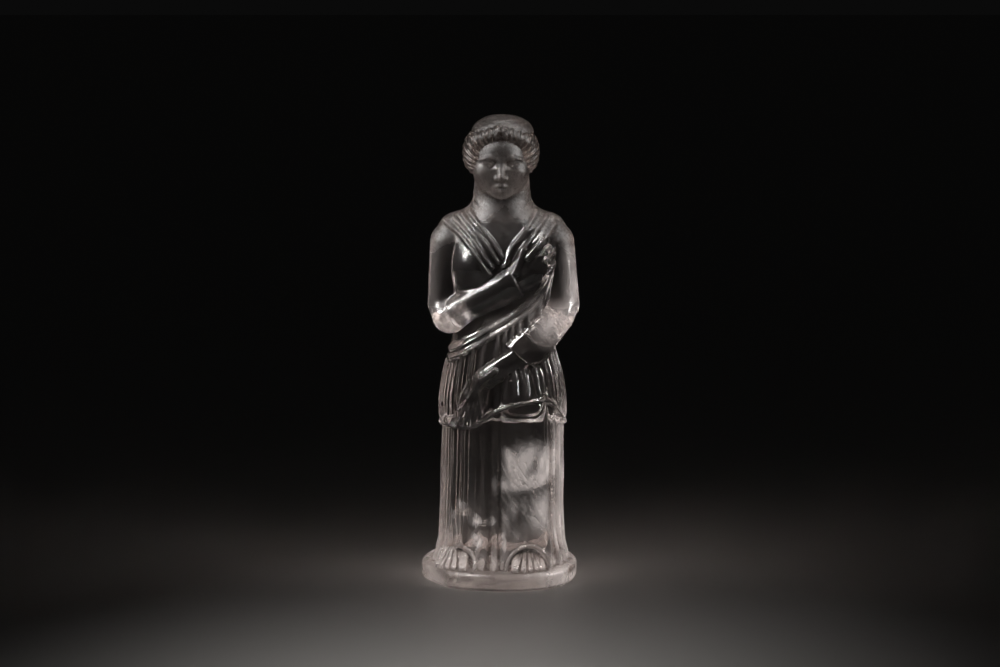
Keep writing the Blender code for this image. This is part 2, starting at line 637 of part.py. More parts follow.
def main():
    for old in list(bpy.data.objects):
        bpy.data.objects.remove(old)
    carve()


main()
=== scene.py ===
"""Looks of the rock crystal figure: the block carved again with its finer relief, the veils inside it, its
polish and wear, and a plain studio. Metres, +Z up, the figure faces -Y. The carving is drawn as a distance
field, as in the part's own source, with finer locks, lids, nails, pleats and tool marks.
"""

import math

import bpy
import numpy as np
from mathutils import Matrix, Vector


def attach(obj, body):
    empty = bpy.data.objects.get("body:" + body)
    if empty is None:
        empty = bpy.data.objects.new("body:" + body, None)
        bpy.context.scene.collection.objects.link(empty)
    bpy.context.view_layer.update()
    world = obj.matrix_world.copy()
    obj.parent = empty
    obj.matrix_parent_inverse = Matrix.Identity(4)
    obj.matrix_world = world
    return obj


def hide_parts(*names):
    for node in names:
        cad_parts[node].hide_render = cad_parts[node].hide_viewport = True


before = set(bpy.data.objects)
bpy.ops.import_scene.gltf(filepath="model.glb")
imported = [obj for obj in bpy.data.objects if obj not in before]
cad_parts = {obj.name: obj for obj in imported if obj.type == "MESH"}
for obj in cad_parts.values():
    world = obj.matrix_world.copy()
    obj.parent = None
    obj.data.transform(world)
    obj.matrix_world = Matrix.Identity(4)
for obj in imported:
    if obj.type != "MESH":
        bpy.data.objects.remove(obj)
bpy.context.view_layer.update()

# Sizes that can be set by themselves, in metres
PLINTH_WIDTH = 0.0402
PLINTH_DEPTH = 0.0346
PLINTH_THICKNESS = 0.0046
PLINTH_EDGE_RADIUS = 0.0012
PLINTH_SQUARENESS = 2.25     # 2 is an ellipse, and more is fuller at the corners
PLINTH_TURN = -4.5           # degrees: the oval lies a little askew, with its +X end nearer the front
FIGURE_HEIGHT = 0.1163       # from the plinth's top to the top of the cap
FIGURE_SHIFT_X = 0.0007      # the figure stands a little to one side of the plinth's centre

# The figure is drawn DRAWN_HEIGHT units tall, and every size of its carving is in those units
DRAWN_HEIGHT = 116.3
GROUND = -1.0                # the drawn height at which the figure meets the plinth
UNIT = FIGURE_HEIGHT / DRAWN_HEIGHT
WIDEST = 22.0                # half the room, in drawn units, that the figure needs along X
DEEPEST = 18.0               # and along Y

# The net of faces
NET_STEP = 0.00026
BLOCK_STEPS = 4              # the net is drawn only in blocks of this many steps near the surface
TRIANGLES = 196000


# Joining and cutting

def join(a, b, blend):
    """The union of two fields, with a fillet about as wide as blend."""
    near = np.maximum(blend - np.abs(a - b), 0.0) / blend
    return np.minimum(a, b) - near * near * blend * 0.25


def soft_meet(a, b, blend):
    return -join(-a, -b, blend)


def soft_cut(a, tool, blend):
    return -join(-a, tool, blend)


def ramp(low, high, value):
    t = np.clip((value - low) / (high - low), 0.0, 1.0)
    return t * t * (3.0 - 2.0 * t)


def turn(degrees):
    """The cosine and sine of a turn."""
    return math.cos(math.radians(degrees)), math.sin(math.radians(degrees))


def bell(away, width):
    """1 where away is 0, falling to 0 on both sides."""
    return np.exp(-((away / width) ** 2))


def eased(stops, values, samples=400):
    """A function that runs smoothly through values at the given stops."""
    stops = np.array(stops, float)
    values = np.array(values, float)
    rise = np.diff(values) / np.diff(stops)
    tangent = np.concatenate([rise[:1], np.zeros(len(stops) - 2), rise[-1:]])
    same_way = rise[:-1] * rise[1:] > 0
    mean = 2.0 * rise[:-1] * rise[1:] / np.where(same_way, rise[:-1] + rise[1:], 1.0)
    tangent[1:-1] = np.where(same_way, mean, 0.0)
    at = np.linspace(stops[0], stops[-1], samples)
    i = np.clip(np.searchsorted(stops, at, side="right") - 1, 0, len(stops) - 2)
    width = stops[i + 1] - stops[i]
    t = (at - stops[i]) / width
    line = (
        (2 * t**3 - 3 * t**2 + 1) * values[i]
        + (t**3 - 2 * t**2 + t) * width * tangent[i]
        + (3 * t**2 - 2 * t**3) * values[i + 1]
        + (t**3 - t**2) * width * tangent[i + 1]
    )
    return lambda where: np.interp(where, at, line).astype(np.float32)


# Solids

def ball(x, y, z, centre, radii, lean=0.0):
    """An ellipsoid, leant by some degrees about Y: a positive lean tips its top towards +X."""
    dx, dy, dz = x - centre[0], y - centre[1], z - centre[2]
    if lean:
        cos, sin = turn(lean)
        dx, dz = cos * dx - sin * dz, sin * dx + cos * dz
    rx, ry, rz = radii
    near = np.sqrt((dx / rx) ** 2 + (dy / ry) ** 2 + (dz / rz) ** 2)
    slope = np.sqrt((dx / rx**2) ** 2 + (dy / ry**2) ** 2 + (dz / rz**2) ** 2)
    return near * (near - 1.0) / np.maximum(slope, 1e-6)


def limb(x, y, z, start, end, start_radius, end_radius, flatness=1.0):
    """A round-ended limb between two points. A flatness over 1 makes it thinner along Y."""
    ax, ay, az = start
    bx, by, bz = (e - s for s, e in zip(start, end))
    dx, dy, dz = x - ax, y - ay, z - az
    t = np.clip((dx * bx + dy * by + dz * bz) / (bx * bx + by * by + bz * bz), 0.0, 1.0)
    across = np.sqrt((dx - t * bx) ** 2 + ((dy - t * by) * flatness) ** 2 + (dz - t * bz) ** 2)
    return (across - start_radius - (end_radius - start_radius) * t) / flatness**0.5


def oval(u, v, squareness):
    """How far out a point lies: 1 on the edge of an oval that is fuller at the corners than an ellipse."""
    return np.maximum((np.abs(u) ** squareness + np.abs(v) ** squareness) ** (1.0 / squareness), 1e-4)


class Garment:
    """A standing hull whose half widths and depths follow a table of heights."""

    def __init__(self, rows, squareness):
        heights, left, right, front, back = zip(*rows)
        self.left, self.right = eased(heights, left), eased(heights, right)
        self.front, self.back = eased(heights, front), eased(heights, back)
        self.squareness = squareness

    def across(self, x, y, z):
        """x and y as shares of the hull's half width and depth at that height."""
        wide = np.where(x < 0, self.left(z), self.right(z))
        deep = np.where(y < 0, self.front(z), self.back(z))
        return x / wide, y / deep

    def outside(self, x, y, z):
        u, v = self.across(x, y, z)
        return np.hypot(x, y) * (1.0 - 1.0 / oval(u, v, self.squareness))

    def bearing(self, x, y, z):
        """Degrees round the hull: 0 at the front, 90 at +X and 180 at the back."""
        u, v = self.across(x, y, z)
        return np.degrees(np.arctan2(u, -v))


def flutes(bearing, ridges, width):
    """1 along each ridge, 0 in the flutes between, for ridges given by their bearing."""
    ridges = np.sort(np.array(ridges, float))
    ends = np.concatenate([ridges[-1:] - 360.0, ridges, ridges[:1] + 360.0])
    after = np.clip(np.searchsorted(ends, bearing), 1, len(ends) - 1)
    apart = np.minimum(bearing - ends[after - 1], ends[after] - bearing)
    return 1.0 / (1.0 + (np.abs(apart) / width) ** 3)


def stroke(x, z, path, width):
    """1 along a path seen from the front, falling to 0 a width or so away from it."""
    found = np.zeros_like(x)
    corners = np.array(path, float)
    low, high = corners.min(0) - 2.5 * width, corners.max(0) + 2.5 * width
    near = np.flatnonzero((x > low[0]) & (x < high[0]) & (z > low[1]) & (z < high[1]))
    if not len(near):
        return found
    px, pz = x[near], z[near]
    apart = np.full(len(near), 1e6, np.float32)
    for (ax, az), (bx, bz) in zip(path, path[1:]):
        ux, uz = bx - ax, bz - az
        t = np.clip(((px - ax) * ux + (pz - az) * uz) / (ux * ux + uz * uz), 0.0, 1.0)
        apart = np.minimum(apart, np.hypot(px - ax - t * ux, pz - az - t * uz))
    found[near] = bell(apart, width)
    return found


def bent(path, pieces=5):
    """The path as short straight stretches of a smooth curve through its points."""
    points = [tuple(2 * a - b for a, b in zip(path[0], path[1])), *path]
    points.append(tuple(2 * a - b for a, b in zip(path[-1], path[-2])))
    line = []
    for before, start, end, after in zip(points, points[1:], points[2:], points[3:]):
        for step in range(pieces):
            t = step / pieces
            line.append(tuple(
                0.5 * (2 * b + (c - a) * t + (2 * a - 5 * b + 4 * c - d) * t**2
                       + (3 * b - a - 3 * c + d) * t**3)
                for a, b, c, d in zip(before, start, end, after)
            ))
    return [*line, path[-1]]


# Cloth. Rows are height, half width at -X, half width at +X, depth in front, depth behind

SKIRT = Garment([
    (-3.0, 18.1, 17.2, 13.2, 12.0),
    (-0.4, 17.8, 17.0, 13.1, 11.8),
    (1.3, 17.2, 16.7, 12.7, 11.5),
    (5.3, 16.0, 15.9, 11.7, 10.9),
    (15.7, 15.6, 15.5, 10.8, 10.4),
    (33.4, 15.0, 15.5, 10.6, 10.2),
    (44.0, 14.6, 15.0, 10.4, 10.2),
], squareness=2.25)
TUNIC = Garment([
    (30.0, 16.1, 16.5, 11.9, 11.2),
    (41.8, 16.0, 16.3, 11.8, 11.3),
    (48.0, 15.2, 15.5, 11.3, 11.0),
    (54.3, 13.8, 13.8, 10.5, 10.3),
    (58.5, 12.9, 12.9, 9.7, 9.7),
    (63.0, 12.6, 12.6, 9.3, 9.4),
    (70.0, 13.2, 13.2, 9.6, 9.7),
    (77.0, 13.7, 13.7, 10.1, 10.2),
    (83.0, 13.2, 13.2, 9.3, 10.0),
    (87.0, 11.4, 11.4, 7.9, 8.8),
    (90.0, 8.6, 8.6, 6.6, 7.2),
    (93.0, 5.8, 5.8, 4.9, 5.4),
    (96.0, 3.4, 3.4, 3.0, 3.8),
], squareness=2.3)
SKIRT_RIDGES = (-93, -72, -54, -37.5, -17.5, -6, 54, 66, 82, 100, 119, 138, 157, 176, -165, -146, -128, -110)
TUNIC_RIDGES = (-88, -71, -57, -44, -31, -20, -5, 3.5, 11, 19, 30, 45, 60, 75, 92,
                112, 132, 152, 172, -168, -148, -128, -108)
TUNIC_HEM = eased(
    (-180, -110, -85, -36, -21, -6, 7, 32, 48, 60, 80, 110, 180),
    (35.0, 35.0, 35.3, 35.6, 37.2, 39.9, 41.9, 43.1, 41.8, 39.2, 35.4, 35.0, 35.0),
)

# The rolled edge of the mantle, seen from the front: x and z
MANTLE_EDGE = (
    (-13.5, 55.4), (-9.5, 57.6), (-3.0, 61.8), (3.5, 65.9),
    (9.0, 70.4), (11.8, 75.5), (12.8, 81.0), (14.6, 85.6),
)
MANTLE_HEIGHT = eased(*zip(*MANTLE_EDGE))
LEG_TOP = 52.0
LEG_SQUARENESS = 3.2


def leg(x, y, z):
    """The advanced leg under the cloth: a smooth column with a clear edge, up to a round top at the thigh."""
    low = ramp(12.0, 0.0, z)
    middle = 5.5 + 0.3 * low
    half = 6.5 + 1.2 * low - 2.0 * ramp(38.0, 50.0, z)
    front = 7.0 + 0.6 * ramp(12.0, 34.0, z) + 1.3 * low - 2.4 * ramp(38.0, 56.0, z)
    across, along = (x - middle) / half, (y + 5.6) / front
    column = np.hypot(x - middle, y + 5.6) * (1.0 - 1.0 / oval(across, along, LEG_SQUARENESS))
    return soft_meet(column, z - LEG_TOP, 5.0)


def skirt(x, y, z):
    """The long skirt, with pipe folds, and the smooth panel over the advanced leg."""
    bearing = SKIRT.bearing(x, y, z)
    spread = 1.0 + 0.10 * ramp(9.0, 0.0, z)
    deep = np.where(np.abs(bearing) < 100, 1.15, 0.4)
    cloth = SKIRT.outside(x, y, z) - deep * (flutes(bearing / spread, SKIRT_RIDGES, 3.3) - 0.5)
    # the fan of small folds that spreads between the feet
    for foot, top in ((-7.2, -5.4), (-4.6, -4.0), (-2.2, -1.8), (0.2, -0.6), (2.2, 0.6)):
        fold = stroke(x, z, ((top, 9.0), (foot, 1.0), (foot * 1.15, -2.0)), 0.65)
        cloth -= 0.8 * fold * (y < 0) * ramp(10.0, 4.0, z)
    return join(cloth, leg(x, y, z), 0.6)


def tunic(x, y, z):
    """The upper garment, down to its waved hem, with a rolled edge and radiating folds."""
    bearing = TUNIC.bearing(x, y, z)
    above = z - TUNIC_HEM(bearing)
    cloth = join(TUNIC.outside(x, y, z), leg(x, y, z) - 0.75, 2.2)
    breast = ball(np.abs(x), y, z, (6.6, -5.6, 78.2), (4.6, 4.9, 5.4))
    cloth = join(cloth, breast, 2.5)
    under_mantle = ramp(2.4, 3.4, MANTLE_HEIGHT(x) - z)
    deep = 0.75 * np.where(y < 0, under_mantle, ramp(72.0, 60.0, z)) * ramp(0.9, 2.9, above)
    deep *= np.where(np.abs(bearing) < 95, 1.0, 0.5)
    cloth -= deep * (flutes(bearing, TUNIC_RIDGES, 2.5) - 0.5)
    cloth -= 0.38 * bell(above - 0.6, 0.55)
    return soft_meet(cloth, -above, 0.45)


# The neckline's folds, seen from the front: each is a path of x and z
NECK_FOLDS_LEFT = (
    ((-15.0, 88.7), (-9.9, 84.7), (-6.0, 80.1), (-3.2, 76.0)),
    ((-12.4, 89.4), (-7.9, 85.1), (-5.1, 81.5), (-2.6, 78.0)),
    ((-10.2, 90.2), (-5.7, 85.6), (-3.0, 82.5), (-1.0, 79.3)),
    ((-8.2, 90.9), (-4.4, 86.7), (-1.6, 83.2), (0.2, 80.5)),
)
NECK_FOLDS_RIGHT = (
    ((9.0, 90.9), (5.8, 86.7), (2.4, 82.6), (0.6, 77.8)),
    ((11.2, 89.6), (7.6, 85.2), (4.4, 81.0), (2.0, 76.5)),
    ((13.6, 87.8), (10.0, 83.2), (7.0, 79.0)),
)


def chest(x, y, z, body):
    """Raises the folds of the neckline and the rolled edge of the mantle on the body."""
    front = ramp(1.0, -2.5, y)
    for path in NECK_FOLDS_LEFT:
        body = body - 0.72 * front * stroke(x, z, bent(path), 0.52)
    for path in NECK_FOLDS_RIGHT:
        body = body - 0.8 * front * stroke(x, z, bent(path), 0.62)
    for lift in (0.0, -2.1):
        line = [(px, pz + lift) for px, pz in bent(MANTLE_EDGE)]
        body = body - 0.9 * front * stroke(x, z, line, 0.7)
    return body


# Arms

def sleeves(x, y, z):
    """Both sleeved arms: the one at -X lies across the breast, the other reaches down."""
    upper = limb(x, y, z, (-13.3, 0.3, 82.6), (-14.6, -1.0, 66.8), 5.1, 4.5)
    fore = limb(x, y, z, (-13.6, -4.2, 63.9), (2.6, -8.8, 73.8), 4.2, 4.2, 1.08)
    cuff = (x - 3.6) * 0.90 + (z - 74.2) * 0.43
    right_arm = join(upper, soft_meet(fore, cuff, 0.35), 1.6)
    upper = limb(x, y, z, (13.3, 0.3, 82.6), (15.2, -1.4, 66.8), 5.2, 4.7)
    fore = limb(x, y, z, (14.0, -4.0, 64.0), (2.9, -8.4, 52.6), 4.4, 6.0, 1.22)
    cuff = (5.2 - x) * 0.62 + (54.5 - z) * 0.78
    left_arm = join(upper, soft_meet(fore, cuff, 0.35), 1.6)
    return np.minimum(right_arm, left_arm)


def breast_hand(x, y, z):
    """The hand laid on the breast, its fingers side by side and pointing up to the shoulder."""
    y = y - 0.8
    hand = limb(x, y, z, (2.6, -10.0, 73.8), (7.6, -10.2, 77.2), 3.4, 4.0, 1.6)
    for step, (tip_x, tip_z) in enumerate(((10.3, 83.8), (11.9, 82.4), (12.9, 80.5), (13.0, 78.2))):
        knuckle = (6.7 + 1.35 * step, -11.5 + 0.3 * step, 80.3 - 1.6 * step)
        bend = (knuckle[0] * 0.4 + tip_x * 0.6, -10.9 + 0.3 * step, knuckle[2] * 0.4 + tip_z * 0.6)
        tip = (tip_x, -8.9 + 0.5 * step, tip_z)
        finger = join(limb(x, y, z, knuckle, bend, 1.15, 1.1), limb(x, y, z, bend, tip, 1.1, 0.9), 0.3)
        hand = join(hand, finger, 0.3)
    thumb = limb(x, y, z, (3.6, -11.6, 76.6), (5.6, -11.2, 82.2), 1.2, 1.0)
    return join(hand, thumb, 0.3)


def hip_hand(x, y, z):
    """The hand held down before the hip, closed on the gathered cloth."""
    hand = limb(x, y, z, (4.4, -9.8, 54.2), (-3.6, -11.0, 49.6), 3.2, 2.9, 1.4)
    for step in range(4):
        start = (-1.9 - 1.05 * step, -13.0, 51.4 - 0.75 * step)
        end = (-4.7 - 0.7 * step, -12.3, 49.6 - 1.2 * step)
        hand = join(hand, limb(x, y, z, start, end, 0.98, 0.9), 0.2)
    return hand


def gathered_cloth(x, y, z):
    """The leaf of cloth that hangs from the closed hand and fans out to the hem."""
    leaf = ball(x, y, z, (-7.2, -9.9, 42.6), (3.9, 2.9, 8.4), lean=20)
    for foot in (-12.2, -10.4, -8.6, -6.8, -5.0):
        leaf = leaf - 0.45 * stroke(x, z, ((-6.2, 50.0), (foot, 37.0)), 0.5)
    return soft_meet(leaf, TUNIC_HEM(TUNIC.bearing(x, y, z)) - z, 0.5)


# Feet

def foot(x, y, z, heel, toe_out, side):
    """A bare foot with five toes. toe_out turns it about its heel, and side puts the big toe at -X or +X."""
    cos, sin = turn(toe_out)
    dx, dy = x - heel[0], y - heel[1]
    along, across = sin * dx - cos * dy, side * (cos * dx + sin * dy)
    sole = ball(across, along, z, (0.2, -0.2, 0.2), (4.5, 6.8, 5.9))
    sole = join(sole, ball(across, along, z, (0.2, 3.0, 0.0), (4.5, 4.9, 2.5)), 0.4)
    for place, reach, radius in ((-3.1, 7.7, 1.25), (-1.05, 8.0, 0.95), (0.75, 7.7, 0.9),
                                 (2.4, 7.1, 0.85), (3.8, 6.3, 0.8)):
        root = (place * 0.92, reach - 4.4, 4.9 - radius)
        sole = join(sole, limb(across, along, z, root, (place, reach, 0.8), radius, radius), 0.12)
        nail = (place, reach + radius * 0.62, 0.8 + radius * 0.95)
        size = (radius * 0.62, radius * 0.45, radius * 0.25)
        sole = soft_cut(sole, ball(across, along, z, nail, size), 0.06)
    for between in (-2.05, -0.15, 1.6, 3.15):
        groove = bell(across - between * along / 7.8, 0.27)
        sole = sole + 0.5 * groove * ramp(1.5, 4.0, along)
    return sole + 0.04 * np.sin(4.1 * across + 2.3 * along) * np.sin(3.7 * along - 2.9 * z)


def stand(x, y, z, body):
    """Opens the skirt in an arch over each foot and sets the feet in the openings."""
    z = z - GROUND
    for centre, radii in (((7.1, -14.0, -0.2), (5.6, 3.9, 6.3)), ((-12.2, -11.6, -0.2), (5.1, 3.7, 6.0))):
        rim = ball(x, y, z, centre, tuple(r + 1.0 for r in radii))
        body = join(body, soft_meet(body - 0.6, rim, 0.5), 0.3)
        body = soft_cut(body, ball(x, y, z, centre, radii), 0.4)
    feet = np.minimum(
        foot(x, y, z, (6.4, -7.2), 2.0, 1.0),
        foot(x, y, z, (-11.4, -4.8), -15.0, -1.0),
    )
    return join(body, feet, 0.25)


# Head. The face is a plain classical one: its thirds are equal and the eyes are halfway up the head

HEAD_X = -0.25
CHIN = 94.6
CROWN = 113.4
EYE_LINE = (CHIN + CROWN) / 2
HAIRLINE = 109.6
THIRD = (HAIRLINE - CHIN) / 3
NOSE_BASE = CHIN + THIRD
MOUTH = NOSE_BASE - THIRD * 0.36
BROW = CHIN + 2 * THIRD + 0.3
EYE_OUT = 2.85
LOCKS = 46.0                 # locks in a full turn about the parting
CAP_SQUARENESS = 2.1
CAP_X = 0.35


def face(x, y, z):
    side = np.abs(x)
    skull = ball(x, y, z, (0.0, -0.4, 105.4), (7.2, 8.3, 8.0))
    jaw = ball(x, y, z, (0.0, -2.0, 101.4), (7.1, 6.6, 7.2))
    head = join(skull, jaw, 1.5)
    chin = ball(x, y, z, (0.0, -6.3, CHIN + 1.8), (2.4, 1.7, 1.7))
    head = join(head, chin, 2.0)
    cheek = ball(side, y, z, (3.8, -5.2, NOSE_BASE + 1.6), (2.4, 2.3, 2.6))
    head = join(head, cheek, 2.0)
    # brows over shallow sockets, and eyes under two lids
    socket = ball(side, y, z, (EYE_OUT, -9.7, EYE_LINE + 0.1), (2.4, 2.2, 1.5))
    head = soft_cut(head, socket, 0.8)
    brow_top = (3.0, -8.05, BROW + 0.55)
    for start, end in (((0.9, -8.3, BROW - 0.1), brow_top), (brow_top, (5.0, -6.7, BROW - 0.1))):
        head = join(head, limb(side, y, z, start, end, 0.3, 0.26), 0.9)
    eye = ball(side, y, z, (EYE_OUT, -6.5, EYE_LINE), (1.5, 1.75, 0.95))
    head = join(head, eye, 0.15)
    for edge, radius in ((0.85, 0.34), (-0.8, 0.26)):
        line = ((1.2, -7.5, EYE_LINE - 0.1), (EYE_OUT, -8.05, EYE_LINE + edge), (4.5, -6.9, EYE_LINE))
        for start, end in zip(line, line[1:]):
            head = join(head, limb(side, y, z, start, end, radius, radius), 0.3)
    # nose
    bridge = limb(x, y, z, (0.0, -8.1, BROW - 0.3), (0.0, -9.7, NOSE_BASE + 1.0), 0.7, 0.9)
    head = join(head, bridge, 0.8)
    wing = ball(side, y, z, (1.05, -8.7, NOSE_BASE + 0.7), (0.7, 1.0, 0.7))
    head = join(head, wing, 0.4)
    # closed lips
    upper = limb(side, y, z, (0.5, -8.15, MOUTH + 0.5), (2.3, -7.15, MOUTH), 0.52, 0.2)
    lower = limb(side, y, z, (0.0, -8.0, MOUTH - 0.62), (1.8, -7.35, MOUTH - 0.35), 0.6, 0.3)
    return join(head, join(upper, lower, 0.1), 0.4)


def lock_turns(x, y, z):
    """Which lock of hair a point lies on, counted outwards and down from the parting in S-curves."""
    outward = np.degrees(np.arctan2(np.abs(x), np.maximum(z - 100.0, 0.05)))
    along = np.hypot(x, z - 104.0) + np.where(y < 0, -y, 0.6 * y)
    return outward * LOCKS / 360.0 + 0.10 * along + 0.32 * np.sin(along * 0.75)


def hair(x, y, z):
    """Waved hair: full at the sides, swept from a middle parting and gathered low at the nape."""
    side = np.abs(x)
    mass = ball(side, y, z, (6.7, -0.4, 105.9), (3.1, 5.6, 5.5))
    mass = join(mass, ball(x, y, z, (0.0, 2.4, 105.4), (8.0, 7.4, 7.6)), 1.6)
    mass = join(mass, ball(x, y, z, (0.0, 5.6, 99.6), (5.4, 3.4, 3.0)), 1.6)
    roll = limb(side, y, z, (0.3, -6.6, 111.7), (6.2, -4.4, 109.0), 1.7, 2.2)
    mass = join(mass, roll, 1.2)
    # locks swept outwards and down from the parting, round the side of the head
    low = ramp(5.5, 7.5, side)
    locks = np.cos(2 * math.pi * lock_turns(x, y, z))
    curls = np.sin(3.4 * x + 1.5 * z) * np.sin(3.6 * z - 1.2 * y)
    mass = mass - (0.17 - 0.07 * low) * locks - 0.07 * low * curls
    parting = stroke(x, z, ((0.0, 109.5), (0.0, 114.0)), 0.3) * (y < 0)
    pit = ball(x, y, z, (1.2, -8.3, 112.3), (0.4, 0.9, 0.4))
    return soft_cut(mass + 0.3 * parting, pit, 0.3)


def cap(x, y, z):
    """The low round cap, a flattened dome."""
    x = x - CAP_X
    share = oval(np.hypot(x, y - 0.6) / 7.9, (z - 110.9) / 4.4, CAP_SQUARENESS)
    dome = np.sqrt(x * x + (y - 0.6) ** 2 + (z - 110.9) ** 2) * (1.0 - 1.0 / share)
    return dome + 0.10 * bell(z - 114.0, 0.22)


def neck(x, y, z):
    """A thick neck with two soft rings, spreading into the shoulders."""
    column = limb(x, y, z, (0.0, 1.4, 88.0), (0.0, 0.8, 101.0), 7.5, 6.9, 1.2)
    for ring, depth in ((93.2, 0.4), (91.2, 0.35)):
        sag = ring - 0.06 * (49.0 - x * x)
        column += depth * bell(z - sag, 0.4) * (y < 0)
    slope = limb(np.abs(x), y, z, (2.0, 0.8, 87.6), (12.0, 0.4, 85.8), 5.4, 4.3)
    return join(column, slope, 3.0)


def head(x, y, z):
    x = x - HEAD_X
    carved = join(face(x, y, z), hair(x, y, z), 0.35)
    return join(carved, cap(x, y, z), 0.3)


def head_without_hair(x, y, z):
    return np.minimum(np.minimum(face(x - HEAD_X, y, z), cap(x - HEAD_X, y, z)), neck(x, y, z))


# The whole block

def plinth(x, y, z):
    """The oval plinth, drawn from its own sizes. x, y and z are in drawn units."""
    cos, sin = turn(PLINTH_TURN)
    x, z = x + FIGURE_SHIFT_X / UNIT, z - GROUND
    along, across = cos * x + sin * y, cos * y - sin * x
    half_x, half_y = PLINTH_WIDTH / UNIT / 2, PLINTH_DEPTH / UNIT / 2
    edge, thick = PLINTH_EDGE_RADIUS / UNIT, PLINTH_THICKNESS / UNIT
    share = oval(along / half_x, across / half_y, PLINTH_SQUARENESS)
    out = np.hypot(x, y) * (1.0 - 1.0 / share) + edge
    up = np.abs(z + thick / 2) - thick / 2 + edge
    block = np.minimum(np.maximum(out, up), 0.0) + np.hypot(np.maximum(out, 0), np.maximum(up, 0)) - edge
    # the straight facet ground across the rim at the front, towards -X
    facet = -0.835 * (x + 20.1) - 0.55 * (y + 2.0) - 0.6
    block = soft_meet(block, facet, 0.6)
    for chip_x, chip_y, chip_z, size in PLINTH_CHIPS:
        block = soft_cut(block, ball(x, y, z, (chip_x, chip_y, chip_z), (size, size * 0.8, size * 0.7)), 0.15)
    return block


# Small chips out of the plinth's rim: x, y, height below its top, radius
PLINTH_CHIPS = (
    (-20.6, 1.0, 0.1, 1.1), (-14.9, -13.6, 0.2, 0.9), (-6.0, -17.6, -4.5, 0.9), (3.4, -17.9, 0.2, 0.7),
    (11.8, -15.6, -4.6, 1.2), (16.6, -11.6, 0.2, 0.8), (20.6, -3.0, -4.4, 1.1), (19.4, 7.0, 0.1, 0.9),
    (9.0, 16.2, 0.2, 1.0), (-8.0, 16.9, -4.5, 1.1), (-17.8, 8.8, 0.2, 0.8),
)


def figure(x, y, z):
    """How far each point lies outside the carved block, in drawn units. Negative is inside."""
    outside = plinth(x, y, z)

    def add(low, high, shape, blend):
        near = np.flatnonzero((z > low) & (z < high))
        if len(near):
            found = shape(x[near], y[near], z[near])
            outside[near] = join(outside[near], found, blend)

    add(-3.0, 44.5, lambda *p: stand(*p, skirt(*p)), 0.3)
    add(33.0, 96.0, lambda *p: chest(*p, join(tunic(*p), neck(*p), 2.0)), 0.25)
    add(44.0, 92.0, sleeves, 0.5)
    add(70.0, 90.0, breast_hand, 0.3)
    add(42.0, 62.0, hip_hand, 0.3)
    add(33.0, 56.0, gathered_cloth, 0.4)
    add(90.0, 118.0, lambda *p: join(neck(*p), head(*p), 0.5), 0.4)
    return outside


FOOT = np.array((FIGURE_SHIFT_X, 0.0, PLINTH_THICKNESS - GROUND * UNIT))


def waves(points, size, seed, count=10):
    """Smooth seeded noise, about -1 to 1, with swells of roughly the given size in drawn units."""
    dice = np.random.default_rng(seed)
    total = np.zeros(len(points), np.float32)
    for _ in range(count):
        way = dice.normal(size=3)
        way *= 2 * math.pi / (size * dice.uniform(0.7, 1.6) * np.linalg.norm(way))
        total += np.sin(points @ way.astype(np.float32) + np.float32(dice.uniform(0, 2 * math.pi)))
    return total / math.sqrt(count / 2)


def grinding_marks(x, y, z):
    """The shallow curved marks left by grinding on the smooth panel over the advanced leg."""
    dice = np.random.default_rng(11)
    marks = np.zeros_like(x)
    for _ in range(26):
        start_x, start_z = dice.uniform(-1.0, 9.0), dice.uniform(12.0, 32.0)
        length, lean = dice.uniform(4.0, 9.0), dice.uniform(0.30, 0.62)
        path = [
            (start_x + lean * t * length * (1 + 0.4 * t), start_z - t * length) for t in (0, 0.35, 0.7, 1.0)
        ]
        marks = np.maximum(marks, dice.uniform(0.4, 1.0) * stroke(x, z, path, 0.16))
    return marks * (y < -8.0) * ramp(4.0, 7.0, z)


def field(points):
    """How far points of the scene lie outside the block, in metres, with the marks of the cutting hand."""
    drawn = ((points - FOOT) / UNIT).astype(np.float32)
    x, y, z = drawn.T
    block = figure(x, y, z)
    uneven = 0.035 * waves(drawn, 8.0, 1) + 0.006 * waves(drawn, 2.6, 2)
    return (block + uneven * ramp(-4.6, -2.0, z) + 0.09 * grinding_marks(x, y, z)) * UNIT


# The net of faces

def sampled(low, counts, step):
    """The field at the points of a grid, worked out only near the surface and filled in elsewhere."""
    blocks = [math.ceil(count / BLOCK_STEPS) for count in counts]
    corner = np.stack(np.meshgrid(*(np.arange(n) for n in blocks), indexing="ij"), -1).reshape(-1, 3)
    middle = low + (corner * BLOCK_STEPS + (BLOCK_STEPS - 1) / 2) * step
    coarse = field(middle)
    values = np.repeat(np.repeat(np.repeat(
        coarse.reshape(blocks), BLOCK_STEPS, 0), BLOCK_STEPS, 1), BLOCK_STEPS, 2)
    reach = BLOCK_STEPS * step * 1.7
    near = corner[np.abs(coarse) < reach] * BLOCK_STEPS
    offset = np.stack(np.meshgrid(*(np.arange(BLOCK_STEPS),) * 3, indexing="ij"), -1).reshape(-1, 3)
    index = (near[:, None, :] + offset[None]).reshape(-1, 3)
    values[tuple(index.T)] = field(low + index * step)
    return values[: counts[0], : counts[1], : counts[2]]


CORNERS = [(i, j, k) for i in (0, 1) for j in (0, 1) for k in (0, 1)]


